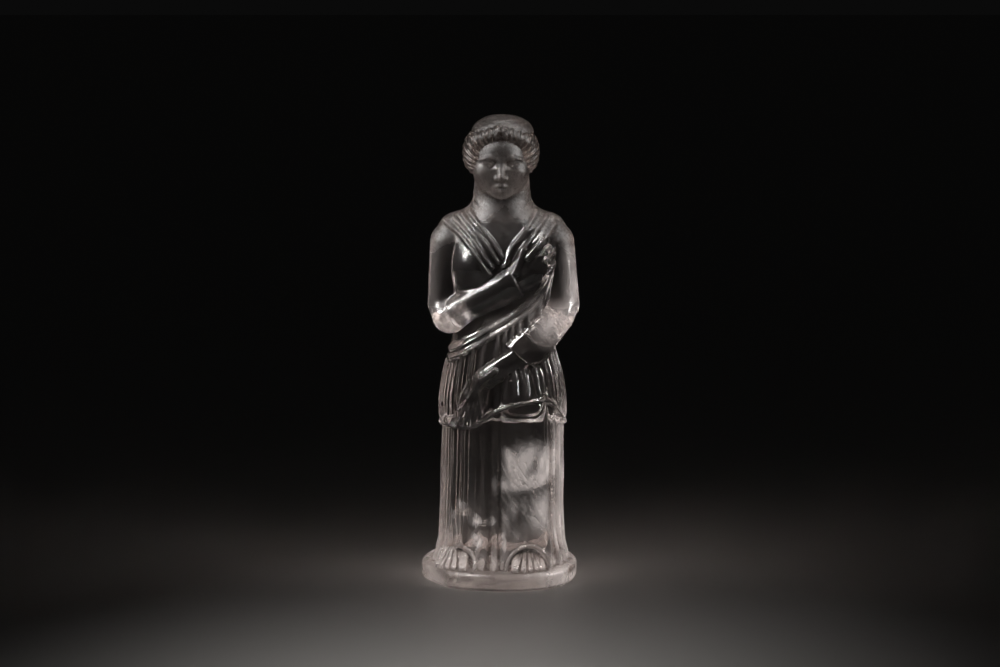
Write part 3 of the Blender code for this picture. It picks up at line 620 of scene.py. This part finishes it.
def corners_to_fill(code):
    """The corners of one cell to fill, so that no parts of the block meet only along an edge or at a point.

    The code has one bit for each corner, which is 1 where the corner is inside the block.
    """
    inside = {corner: bool(code >> n & 1) for n, corner in enumerate(CORNERS)}
    fill = set()
    for a in CORNERS:
        for b in CORNERS:
            differ = [axis for axis in range(3) if a[axis] != b[axis]]
            box = [c for c in CORNERS if all(c[axis] == a[axis] for axis in range(3) if axis not in differ)]
            others = [c for c in box if c not in (a, b)]
            alone = inside[a] == inside[b] and all(inside[c] != inside[a] for c in others)
            if len(differ) > 1 and alone:
                fill |= {c for c in box if not inside[c]}
    return [corner in fill for corner in CORNERS]


FILL = np.array([corners_to_fill(code) for code in range(256)])


def crossed_cells(values):
    """The cells that the surface passes through, once the corners that must be filled are filled."""
    cells = tuple(n - 1 for n in values.shape)
    while True:
        inside = values < 0
        code = np.zeros(cells, np.uint8)
        for n, (i, j, k) in enumerate(CORNERS):
            code |= inside[i : i + cells[0], j : j + cells[1], k : k + cells[2]].astype(np.uint8) << n
        crossed = np.stack(np.nonzero((code > 0) & (code < 255)), -1)
        fill = FILL[code[tuple(crossed.T)]]
        if not fill.any():
            return crossed
        for n, corner in enumerate(CORNERS):
            values[tuple((crossed[fill[:, n]] + corner).T)] = -1e-5


def net(step):
    """Points and four-sided faces over the surface: one point for each grid cell that it passes through."""
    low = np.array([-WIDEST * UNIT, -DEEPEST * UNIT, -2.3 * step])
    high = np.array([WIDEST * UNIT, DEEPEST * UNIT, PLINTH_THICKNESS + FIGURE_HEIGHT + 2.0 * step])
    low[:2] = np.minimum(low[:2], (-PLINTH_WIDTH / 2 - 2 * step, -PLINTH_DEPTH / 2 - 2 * step))
    high[:2] = np.maximum(high[:2], (PLINTH_WIDTH / 2 + 2 * step, PLINTH_DEPTH / 2 + 2 * step))
    counts = [int(n) for n in np.ceil((high - low) / step)]
    values = sampled(low, counts, step)
    crossed = crossed_cells(values)
    inside = values < 0
    cells = tuple(n - 1 for n in counts)
    number = np.full(cells, -1, np.int32)
    number[tuple(crossed.T)] = np.arange(len(crossed))
    held = {c: values[tuple((crossed + c).T)] for c in CORNERS}
    total, hits = np.zeros((len(crossed), 3)), np.zeros(len(crossed))
    for start in CORNERS:
        for axis in range(3):
            if start[axis]:
                continue
            end = tuple(1 if a == axis else s for a, s in enumerate(start))
            a, b = held[start], held[end]
            cut = (a < 0) != (b < 0)
            share = np.where(cut, a / np.where(cut, a - b, 1.0), 0.0)
            total += np.where(cut[:, None], start + share[:, None] * np.eye(3)[axis], 0.0)
            hits += cut
    points = low + (crossed + total / hits[:, None]) * step
    faces = []
    for axis in range(3):
        b, c = (axis + 1) % 3, (axis + 2) % 3
        first = [slice(None)] * 3
        first[axis] = slice(0, -1)
        last = [slice(None)] * 3
        last[axis] = slice(1, None)
        leaving, entering = inside[tuple(first)], inside[tuple(last)]
        at = np.stack(np.nonzero(leaving != entering), -1)
        ring = []
        for db, dc in ((-1, -1), (0, -1), (0, 0), (-1, 0)):
            cell = at.copy()
            cell[:, b] += db
            cell[:, c] += dc
            ring.append(number[tuple(cell.T)])
        ring = np.stack(ring, -1)
        outward = leaving[tuple(at.T)]
        faces.append(np.where(outward[:, None], ring, ring[:, ::-1]))
    return outer_surface(points, np.concatenate(faces))


def outer_surface(points, faces):
    """The net without the small closed pockets that joined forms leave between them."""
    piece = np.arange(len(points))
    while True:
        joined = piece.copy()
        np.minimum.at(joined, faces, piece[faces].min(1)[:, None])
        joined = joined[joined]
        if (joined == piece).all():
            break
        piece = joined
    outer = np.argmax(np.bincount(piece))
    kept = piece == outer
    number = np.cumsum(kept) - 1
    return points[kept], number[faces[kept[faces[:, 0]]]]


# Materials

CRYSTAL_IOR = 1.544
CRYSTAL_COLOUR = (0.95, 0.875, 0.85, 1)
STAIN_AND_SHADE_COLOUR = (0.15, 0.105, 0.085, 1)
HAZE_LEVELS = 16             # grades of cloudiness, each a material
MILKIEST = 0.72              # how much of the surface's light the milkiest parts scatter
SKIN = ("dull", "stain_and_shade", "hair", "strands")   # the mesh's attributes


def new_material(name):
    material = bpy.data.materials.new(name)
    material.use_nodes = True
    return material, material.node_tree, material.node_tree.nodes["Principled BSDF"]


def feed(tree, socket, value):
    """Links a node's input to another socket, or sets it to a plain value."""
    if isinstance(value, bpy.types.NodeSocket):
        tree.links.new(value, socket)
    else:
        socket.default_value = value


def add_node(tree, kind, settings=(), **inputs):
    node = tree.nodes.new(kind)
    for name, value in dict(settings).items():
        setattr(node, name, value)
    for name, value in inputs.items():
        feed(tree, node.inputs[name.replace("_", " ")], value)
    return node


def math_of(tree, operation, *values, clamp=False):
    """The outcome of a sum or product of sockets and numbers."""
    node = add_node(tree, "ShaderNodeMath", {"operation": operation, "use_clamp": clamp})
    for socket, value in zip(node.inputs, values):
        feed(tree, socket, value)
    return node.outputs["Value"]


def noise(tree, place, scale, detail, roughness=0.5):
    node = add_node(tree, "ShaderNodeTexNoise", Vector=place, Scale=scale, Detail=detail, Roughness=roughness)
    return node.outputs["Fac"]


def ranged(tree, value, low, high, to_low, to_high):
    """The value's range from low to high, stretched to another range and held within it."""
    node = add_node(tree, "ShaderNodeMapRange", Value=value, From_Min=low, From_Max=high,
                    To_Min=to_low, To_Max=to_high)
    return node.outputs["Result"]


def mixed_colour(tree, share, first, second):
    node = add_node(tree, "ShaderNodeMix", {"data_type": "RGBA"}, Factor=share)
    node.inputs[6].default_value, node.inputs[7].default_value = first, second
    return node.outputs[2]


def crystal(name, clearness):
    """Rock crystal of one clearness: 1 is fully clear, and less leaves a milky haze on its skin."""
    material, tree, shader = new_material(name)
    shader.inputs["IOR"].default_value = CRYSTAL_IOR
    shader.inputs["Transmission Weight"].default_value = clearness
    place = add_node(tree, "ShaderNodeTexCoord").outputs["Object"]
    dull, stain_and_shade, hair_share, strands = (
        add_node(tree, "ShaderNodeAttribute", {"attribute_name": title}).outputs["Fac"] for title in SKIN
    )
    # polish worn in patches
    worn = ranged(tree, noise(tree, place, 420.0, 6.0, 0.65), 0.35, 0.75, 0.0, 0.10)
    rough = math_of(tree, "ADD", ranged(tree, dull, 0.0, 1.0, 0.01, 0.40), worn, clamp=True)
    tree.links.new(rough, shader.inputs["Roughness"])
    # brown stain where dirt has settled, and painted shade darkening the grooves
    patchy = ranged(tree, noise(tree, place, 1500.0, 4.0, 0.7), 0.3, 0.7, 0.4, 1.5)
    stained_and_shaded = math_of(tree, "MULTIPLY", stain_and_shade, patchy, clamp=True)
    tree.links.new(mixed_colour(tree, stained_and_shaded, CRYSTAL_COLOUR, STAIN_AND_SHADE_COLOUR), shader.inputs["Base Color"])
    # fine pitting on the dull parts and hair scratches on the polished ones
    pits = noise(tree, place, 3200.0, 3.0, 0.6)
    pitted = math_of(tree, "MULTIPLY", pits, math_of(tree, "MULTIPLY", dull, 2.0))
    turned = add_node(tree, "ShaderNodeMapping", Vector=place, Rotation=(0.3, 0.5, 0.8),
                      Scale=(1900.0, 1900.0, 60.0))
    scratch = ranged(tree, noise(tree, turned.outputs["Vector"], 1.0, 2.0), 0.60, 0.80, 0.0, 0.05)
    scored = math_of(tree, "SUBTRACT", pitted, scratch)
    # the strands of each lock of hair
    wave = math_of(tree, "SINE", math_of(tree, "MULTIPLY", strands, 2 * math.pi))
    relief = math_of(tree, "MULTIPLY_ADD", math_of(tree, "MULTIPLY", wave, hair_share), 1.1, scored)
    bump = add_node(tree, "ShaderNodeBump", Height=relief, Strength=0.5, Distance=0.00012)
    tree.links.new(bump.outputs["Normal"], shader.inputs["Normal"])
    return material


# The block

def slopes(points, reach):
    """The field's gradient and its bend at points: a bend over 0 is an outward curve, such as a ridge."""
    middle = field(points)
    gradient = np.zeros_like(points)
    bend = np.zeros(len(points))
    for axis in range(3):
        shift = np.zeros(3)
        shift[axis] = reach
        ahead, behind = field(points + shift), field(points - shift)
        gradient[:, axis] = (ahead - behind) / (2 * reach)
        bend += (ahead + behind - 2 * middle) / reach**2
    return middle, gradient, bend


def settle(mesh):
    """Moves the points of the mesh on to the field's surface and gives them its normals."""
    points = np.empty(3 * len(mesh.vertices))
    mesh.vertices.foreach_get("co", points)
    points = points.reshape(-1, 3)
    normals = np.empty(3 * len(mesh.vertices))
    mesh.vertices.foreach_get("normal", normals)
    normals = normals.reshape(-1, 3)
    for _ in range(2):
        off, gradient, _ = slopes(points, 0.00005)
        steep = np.linalg.norm(gradient, axis=1)
        way = gradient / np.maximum(steep, 1e-6)[:, None]
        sound = (steep > 0.5) & ((way * normals).sum(1) > 0.6)
        move = np.clip(off / np.maximum(steep, 0.5), -0.00008, 0.00008)
        points -= np.where(sound[:, None], way * move[:, None], 0.0)
    _, gradient, _ = slopes(points, 0.00010)
    way = gradient / np.maximum(np.linalg.norm(gradient, axis=1), 1e-6)[:, None]
    sound = (way * normals).sum(1) > 0.5
    way = np.where(sound[:, None], way, normals)
    mesh.vertices.foreach_set("co", points.ravel())
    mesh.update()
    mesh.shade_smooth()
    mesh.normals_split_custom_set_from_vertices(way.tolist())
    return points


def spot(x, z, middle, reach):
    """1 at a place seen from the front, easing to 0 at its reach along X and Z."""
    return ramp(1.0, 0.25, np.hypot((x - middle[0]) / reach[0], (z - middle[1]) / reach[1]))


# Painted glints low on the skirt, made as small milky places: middle, reach along X and Z, and milkiness
PAINTED_GLINT_SPOTS = (
    ((-10.2, 15.2), (1.8, 1.2), 1.1),
    ((-12.2, 12.4), (1.4, 1.0), 0.9),
    ((-6.8, 11.4), (2.4, 1.4), 1.0),
    ((-2.8, 11.6), (1.5, 1.6), 0.9),
    ((-6.4, 6.4), (2.4, 2.6), 0.9),
    ((0.4, 6.4), (0.9, 4.5), 0.9),
)


def finish_of(points):
    """The skin at the points: milkiness with painted glints, dullness, stain with painted shade in the
    grooves, and hair, each 0 to 1, and the hair's strands.
    """
    drawn = ((points - FOOT) / UNIT).astype(np.float32)
    x, y, z = drawn.T
    bend = slopes(points, 0.0004)[2] * UNIT
    ridge, groove = ramp(0.6, 2.4, bend), ramp(-0.5, -2.2, bend)
    cloud = 0.7 * waves(drawn, 9.0, 3) + 0.3 * waves(drawn, 3.0, 4)
    streaks = 0.5 + 0.5 * waves(drawn * np.array((2.0, 1.0, 0.4), np.float32), 3.0, 6)
    front = ramp(0.0, -4.0, y)
    on_plinth = ramp(-0.4, -0.9, z)
    satin = ramp(86.0, 92.0, z + 0.75 * (np.abs(x) - 6.0))
    throat = ramp(79.0, 86.0, z) * ramp(8.0, 4.0, np.abs(x)) * (1.0 - satin)
    # milk: the cloudy patch and the light haze of the panel over the advanced leg
    panel = 1.45 * spot(x, z, (7.8, 26.0), (8.5, 8.5)) * (0.5 + 0.5 * streaks)
    panel *= ramp(18.5, 21.5, z - 0.15 * x)
    panel += 0.75 * stroke(x, z, ((-0.5, 21.2), (4.5, 21.6), (8.5, 22.6), (12.0, 24.4)), 1.5)
    panel += 0.70 * stroke(x, z, ((1.4, 30.0), (2.6, 26.5), (4.4, 21.5)), 1.0)
    panel += 0.58 * spot(x, z, (10.5, 14.0), (5.0, 8.0))
    panel += 0.24 * spot(x, z, (4.0, 13.0), (7.0, 8.0)) * streaks
    panel += 0.30 * grinding_marks(x, y, z)
    milk_and_glints = 0.007 + 0.014 * satin + 0.012 * throat + front * panel
    # and elsewhere: the arms' outer sides and elbows, the low skirt, the feet and the plinth
    milk_and_glints += 0.42 * ramp(14.0, 19.0, x) * ramp(64.0, 70.0, z) * ramp(90.0, 82.0, z)
    milk_and_glints += 0.38 * spot(x, z, (14.5, 62.0), (8.0, 8.0)) * ramp(6.0, 0.0, y)
    milk_and_glints += 0.03 * spot(x, z, (-14.4, 64.0), (6.5, 6.0))
    milk_and_glints += 0.30 * stroke(x, z, ((-1.0, 61.5), (5.0, 64.0), (9.5, 67.5)), 1.9) * (y < -6.0)
    milk_and_glints += 0.55 * ramp(11.8, 15.0, x) * ramp(44.0, 36.0, z) * ramp(-1.0, 6.0, z)
    milk_and_glints += 0.07 * ramp(-13.0, -15.5, x) * ramp(40.0, 36.0, z)
    milk_and_glints += front * 0.08 * spot(x, z, (-9.5, 10.0), (8.0, 9.0)) * streaks
    # painted glints: milky places low on the skirt stand in for glints of light on its folds
    for middle, reach, share in PAINTED_GLINT_SPOTS:
        milk_and_glints += front * share * spot(x, z, middle, reach) * (0.6 + 0.4 * waves(drawn * 2.0, 3.0, 7))
    milk_and_glints += 0.03 * ramp(26.0, 4.0, z) + 0.06 * ramp(-0.5, -1.5, z)
    milk_and_glints += (0.17 - 0.14 * on_plinth) * ramp(6.5, 1.0, z)
    milk_and_glints += 0.50 * ramp(8.0, 15.0, x) * ramp(0.0, -2.0, z)
    milk_and_glints += 0.03 * ramp(-11.0, -16.0, x) * on_plinth + (0.02 + 0.06 * satin) * ridge
    milk_and_glints += 0.06 * ramp(-15.0, -18.5, x) * ramp(62.0, 68.0, z)
    milk_and_glints *= 1.0 + 0.30 * cloud * (1.0 - on_plinth)
    milk_and_glints -= 0.09 * front * ramp(-3.6, -2.2, z) * on_plinth * ramp(9.0, 3.0, x)
    milk_and_glints += 0.12 * stroke(x, z, ((-11.9, -0.9), (-11.2, -2.6), (-10.9, -5.6)), 0.6) * front
    dull = 0.04 + 0.75 * satin + 0.40 * throat + 0.36 * on_plinth
    dull += 0.12 * ridge * (z > 2.0) + 0.35 * milk_and_glints + 0.05 * cloud
    dull += 0.35 * stroke(x, z, ((-14.0, 66.0), (-3.0, 72.5)), 4.2) * (y < -5.0)
    dull += 0.2 * satin * ramp(97.0, 92.0, z)
    dull += 0.48 * spot(x, z, (-9.2, 82.0), (6.0, 8.5)) * front
    stain_and_shade = 0.02 + 0.76 * satin * (1.0 + 0.25 * cloud)
    # painted shade: the stain colour darkens the grooves and hollows, and more so low down by the toes
    stain_and_shade += (0.42 + 0.4 * ramp(8.0, 5.0, z)) * groove
    stain_and_shade += 0.5 * spot(x, z, (13.6, 2.6), (3.2, 2.6)) * front
    stain_and_shade += 0.32 * ramp(5.0, 10.0, np.abs(x)) * ramp(43.0, 46.0, z) * ramp(63.0, 58.0, z)
    stain_and_shade += 0.32 * ramp(-5.0, -10.0, x) * ramp(18.0, 28.0, z) * ramp(46.0, 43.0, z)
    stain_and_shade += 0.8 * spot(x, z, (18.0, -2.0), (1.8, 1.2))
    stain_and_shade += 0.3 * spot(x, z, (-17.5, 64.0), (2.5, 3.0)) + (0.16 + 0.14 * cloud) * on_plinth
    bare = head_without_hair(x, y, z) < hair(x - HEAD_X, y, z)
    strands = np.where(z > 95.0, lock_turns(x - HEAD_X, y, z) * 3.0 + 0.5 * z, 0.0)
    haired = np.where((z > 95.0) & ~bare, 1.0, 0.0)
    stain_and_shade += 0.38 * haired
    return [np.clip(share, 0.0, 1.0) for share in (milk_and_glints, dull, stain_and_shade, haired)] + [strands]


def thing(name, points, faces):
    mesh = bpy.data.meshes.new(name)
    mesh.from_pydata(points, [], faces)
    made = bpy.data.objects.new(name, mesh)
    bpy.context.scene.collection.objects.link(made)
    return made


def settled_as(made, name):
    """Gives the object the mesh that its modifier makes, and removes the modifier."""
    graph = bpy.context.evaluated_depsgraph_get()
    graph.update()
    mesh = bpy.data.meshes.new_from_object(made.evaluated_get(graph))
    made.modifiers.clear()
    made.data = mesh
    mesh.name = name
    return mesh


def block(name):
    step = NET_STEP
    points, faces = net(step)
    carved = thing(name, points.tolist(), faces.tolist())
    thin = carved.modifiers.new("fewer faces", "DECIMATE")
    thin.ratio = min(1.0, TRIANGLES / (2 * len(faces)))
    fewer = settled_as(carved, name)
    milk_and_glints, *finish = finish_of(settle(fewer))
    for title, values in zip(SKIN, finish):
        fewer.attributes.new(title, "FLOAT", "POINT").data.foreach_set("value", values.astype(np.float32))
    for level in range(HAZE_LEVELS):
        share = ((level + 0.5) / HAZE_LEVELS) ** 2
        fewer.materials.append(crystal(f"rock_crystal_haze_{level}", 1.0 - MILKIEST * share))
    corners = np.empty(len(fewer.loops), np.int32)
    fewer.loops.foreach_get("vertex_index", corners)
    totals = np.empty(len(fewer.polygons), np.int32)
    fewer.polygons.foreach_get("loop_total", totals)
    starts = np.concatenate([[0], np.cumsum(totals)[:-1]])
    of_face = np.add.reduceat(milk_and_glints[corners], starts) / totals
    mixed = np.random.default_rng(5).uniform(-0.5, 0.5, len(totals))
    level = np.clip((np.sqrt(of_face) * HAZE_LEVELS + mixed).astype(np.int32), 0, HAZE_LEVELS - 1)
    fewer.polygons.foreach_set("material_index", level)
    return carved


# Healed cracks sealed in the crystal. Each is a bent sheet of tiny flat flaws:
# its middle, half width, half height, turn about Z, lean and bow, in drawn units and degrees
VEILS = (
    ((7.2, -10.2, 24.6), 4.6, 4.4, 12.0, -24.0, 1.2),
    ((3.2, -10.6, 25.0), 1.2, 5.2, -10.0, 18.0, 0.6),
    ((-9.6, -5.8, 13.0), 2.6, 0.9, -20.0, 52.0, 0.5),
    ((-5.6, -7.2, 10.6), 1.8, 0.8, 12.0, 50.0, 0.4),
    ((12.4, -1.5, 14.0), 1.4, 9.0, 40.0, 6.0, 0.6),
    ((14.0, -2.6, 62.6), 2.2, 2.6, 20.0, -20.0, 0.6),
    ((-11.2, -9.5, -3.2), 0.7, 1.8, 60.0, 8.0, 0.2),
    ((8.6, -5.0, -3.4), 6.0, 1.2, 10.0, 60.0, 0.4),
)
FLAWS_PER_SQUARE = 9.0       # flaws to a drawn unit's square
LARGEST_FLAW = 0.19          # its radius, in drawn units


def veil_sheets():
    """The bent sheets that the flaws lie on, kept where they are well inside the block."""
    points, faces = [], []
    for middle, wide, high, turned, lean, bow in VEILS:
        first = len(points)
        cos, sin = turn(turned)
        tilt = math.tan(math.radians(lean))
        rows, columns = 17, 13
        for row in range(rows):
            for column in range(columns):
                u, v = 2 * column / (columns - 1) - 1, 2 * row / (rows - 1) - 1
                deep = bow * (u * u + 0.5 * math.sin(2.2 * v + 1.3 * u)) + 0.25 * math.sin(7 * u + 5 * v)
                across = wide * u * (1 - 0.3 * v * v)
                points.append((
                    middle[0] + cos * across - sin * deep,
                    middle[1] + sin * across + cos * deep + tilt * high * v * 0.5,
                    middle[2] + high * v * (1 - 0.2 * u * u),
                ))
        for row in range(rows - 1):
            for column in range(columns - 1):
                a = first + row * columns + column
                faces.append((a, a + 1, a + 1 + columns, a + columns))
    places = np.array(points) * UNIT + FOOT
    buried = field(places) < -0.7 * UNIT
    return places, [face for face in faces if all(buried[corner] for corner in face)]


def flaws_tree(material):
    """Scatters flat closed flakes over the sheets that come in."""
    tree = bpy.data.node_groups.new("veil of flaws", "GeometryNodeTree")
    face = tree.interface
    face.new_socket("Sheets", in_out="INPUT", socket_type="NodeSocketGeometry")
    for title, kind in (("Density", "Float"), ("Radius", "Float"), ("Flatness", "Float"), ("Seed", "Int")):
        face.new_socket(title, in_out="INPUT", socket_type="NodeSocket" + kind)
    face.new_socket("Veils", in_out="OUTPUT", socket_type="NodeSocketGeometry")
    given = tree.nodes.new("NodeGroupInput").outputs
    scatter = add_node(tree, "GeometryNodeDistributePointsOnFaces", Mesh=given["Sheets"],
                       Density=given["Density"], Seed=given["Seed"])
    flake = add_node(tree, "GeometryNodeMeshIcoSphere", Radius=given["Radius"], Subdivisions=1)
    flat = add_node(tree, "ShaderNodeCombineXYZ", X=1.0, Y=0.7, Z=given["Flatness"])
    squashed = add_node(tree, "GeometryNodeTransform", Geometry=flake.outputs["Mesh"],
                        Scale=flat.outputs["Vector"])
    sizes = add_node(tree, "FunctionNodeRandomValue", {"data_type": "FLOAT"})
    sizes.inputs[2].default_value, sizes.inputs[3].default_value = 0.15, 1.0
    tree.links.new(given["Seed"], sizes.inputs["Seed"])
    squared = math_of(tree, "MULTIPLY", sizes.outputs[1], sizes.outputs[1])
    spin = add_node(tree, "FunctionNodeRandomValue", {"data_type": "FLOAT"})
    spin.inputs[2].default_value, spin.inputs[3].default_value = -0.5, 0.5
    spread = add_node(tree, "ShaderNodeCombineXYZ", X=spin.outputs[1], Y=spin.outputs[1], Z=spin.outputs[1])
    turned = add_node(tree, "FunctionNodeRotateRotation", {"rotation_space": "LOCAL"},
                      Rotation=scatter.outputs["Rotation"], Rotate_By=spread.outputs["Vector"])
    placed = add_node(tree, "GeometryNodeInstanceOnPoints", Points=scatter.outputs["Points"],
                      Instance=squashed.outputs["Geometry"], Rotation=turned.outputs["Rotation"],
                      Scale=squared)
    real = add_node(tree, "GeometryNodeRealizeInstances", Geometry=placed.outputs["Instances"])
    made = add_node(tree, "GeometryNodeSetMaterial", Geometry=real.outputs["Geometry"], Material=material)
    out = tree.nodes.new("NodeGroupOutput")
    tree.links.new(made.outputs["Geometry"], out.inputs["Veils"])
    return tree


def veil_finish():
    """The pearly skin of a flaw: pale, with a slight change of tone from one to the next."""
    material, tree, shader = new_material("healed_veil")
    shader.inputs["Transmission Weight"].default_value = 0.55
    shader.inputs["IOR"].default_value = 1.3
    place = add_node(tree, "ShaderNodeTexCoord").outputs["Object"]
    tone = noise(tree, place, 900.0, 3.0)
    pearly = mixed_colour(tree, tone, (0.80, 0.72, 0.68, 1), (0.97, 0.94, 0.92, 1))
    tree.links.new(pearly, shader.inputs["Base Color"])
    tree.links.new(ranged(tree, tone, 0.0, 1.0, 0.15, 0.5), shader.inputs["Roughness"])
    return material


def veils(name):
    places, faces = veil_sheets()
    sheet = thing(name, places.tolist(), faces)
    scatter = sheet.modifiers.new("flaws", "NODES")
    scatter.node_group = flaws_tree(veil_finish())
    values = {"Density": FLAWS_PER_SQUARE / UNIT**2, "Radius": LARGEST_FLAW * UNIT, "Flatness": 0.12,
              "Seed": 7}
    for socket in scatter.node_group.interface.items_tree:
        if socket.name in values:
            scatter[socket.identifier] = values[socket.name]
    settled_as(sheet, name).shade_smooth()
    return sheet


figure_block = block("crystal_figure_carved")
flaws = veils("veils")
for piece in (figure_block, flaws):
    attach(piece, "root")
    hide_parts("crystal_figure")


# Studio. Lamps are given by name, place, aim, size, power in watts and spread in degrees

LAMP_COLOUR = (1.0, 0.965, 0.95)
DARKNESS = (0.003, 0.003, 0.003, 1)
FLOOR_HALF_WIDTH = 1.6


def pale_floor():
    material, _, shader = new_material("pale_floor")
    shader.inputs["Base Color"].default_value = (0.60, 0.59, 0.57, 1)
    shader.inputs["Roughness"].default_value = 0.55
    half = FLOOR_HALF_WIDTH
    corners = [(-half, -half, 0), (half, -half, 0), (half, half, 0), (-half, half, 0)]
    floor = thing("floor", corners, [(0, 1, 2, 3)])
    floor.data.materials.append(material)
    return floor


def softbox(name, place, aim, size, power, spread, lights=None, stopped_by=None):
    """A soft lamp. It can be kept to the things in one collection, and shaded only by another's."""
    lamp = bpy.data.lights.new(name, "AREA")
    lamp.shape = "RECTANGLE"
    lamp.size, lamp.size_y = size
    lamp.energy = power
    lamp.spread = math.radians(spread)
    lamp.color = LAMP_COLOUR
    box = bpy.data.objects.new(name, lamp)
    box.location = place
    box.rotation_euler = (Vector(aim) - Vector(place)).to_track_quat("-Z", "Y").to_euler()
    bpy.context.scene.collection.objects.link(box)
    if lights:
        box.light_linking.receiver_collection = lights
    if stopped_by:
        box.light_linking.blocker_collection = stopped_by
    return box


def kept_to(name, piece):
    only = bpy.data.collections.new(name)
    only.objects.link(piece)
    return only


def studio():
    floor = pale_floor()
    world = bpy.data.worlds.new("studio")
    bpy.context.scene.world = world
    world.use_nodes = True
    world.node_tree.nodes["Background"].inputs["Color"].default_value = DARKNESS
    crystal_only = kept_to("crystal_only", figure_block)
    veils_only = kept_to("veils_only", flaws)
    floor_only = kept_to("floor_only", floor)
    softbox("key_light", (-0.26, -0.15, 0.56), (0, 0, 0.066), (0.16, 0.20), 0.285, 50, crystal_only)
    softbox("top_right_light", (0.24, -0.12, 0.54), (0, 0, 0.066), (0.10, 0.16), 0.125, 50, crystal_only)
    softbox("left_light", (-0.44, -0.09, 0.28), (0, 0, 0.070), (0.24, 0.32), 0.115, 60, crystal_only)
    breast = (-0.010, -0.008, 0.088)
    softbox("breast_light", (-0.145, -0.034, 0.150), breast, (0.04, 0.05), 0.010, 20, crystal_only)
    softbox("right_light", (0.45, -0.10, 0.22), (0, 0, 0.060), (0.08, 0.28), 0.135, 40, crystal_only)
    softbox("back_light", (0.05, 0.10, 0.60), (0, 0, 0.072), (0.14, 0.10), 0.012, 12, crystal_only)
    softbox("veil_light", (-0.20, -0.30, 0.45), (0, 0, 0.040), (0.20, 0.20), 0.40, 50, veils_only, floor_only)
    softbox("floor_light", (-0.20, -0.26, 0.55), (-0.01, -0.115, 0), (0.10, 0.10), 0.016, 17)


def camera():
    """The photograph's view: a long lens a little above the figure."""
    lens = bpy.data.cameras.new("camera")
    lens.sensor_width = 36.0
    lens.lens = 113.4
    lens.clip_start = 0.01
    seen_from = bpy.data.objects.new("camera", lens)
    pitch = math.radians(11.0)
    aim = Vector((0.0002, 0.0, 0.0643))
    back = Vector((0.0, -math.cos(pitch), math.sin(pitch)))
    seen_from.location = aim + back * 0.812
    seen_from.rotation_euler = (-back).to_track_quat("-Z", "Y").to_euler()
    bpy.context.scene.collection.objects.link(seen_from)
    bpy.context.scene.camera = seen_from


studio()
camera()

scene = bpy.context.scene
scene.view_settings.view_transform = "Standard"
scene.cycles.max_bounces = 24
scene.cycles.transmission_bounces = 24
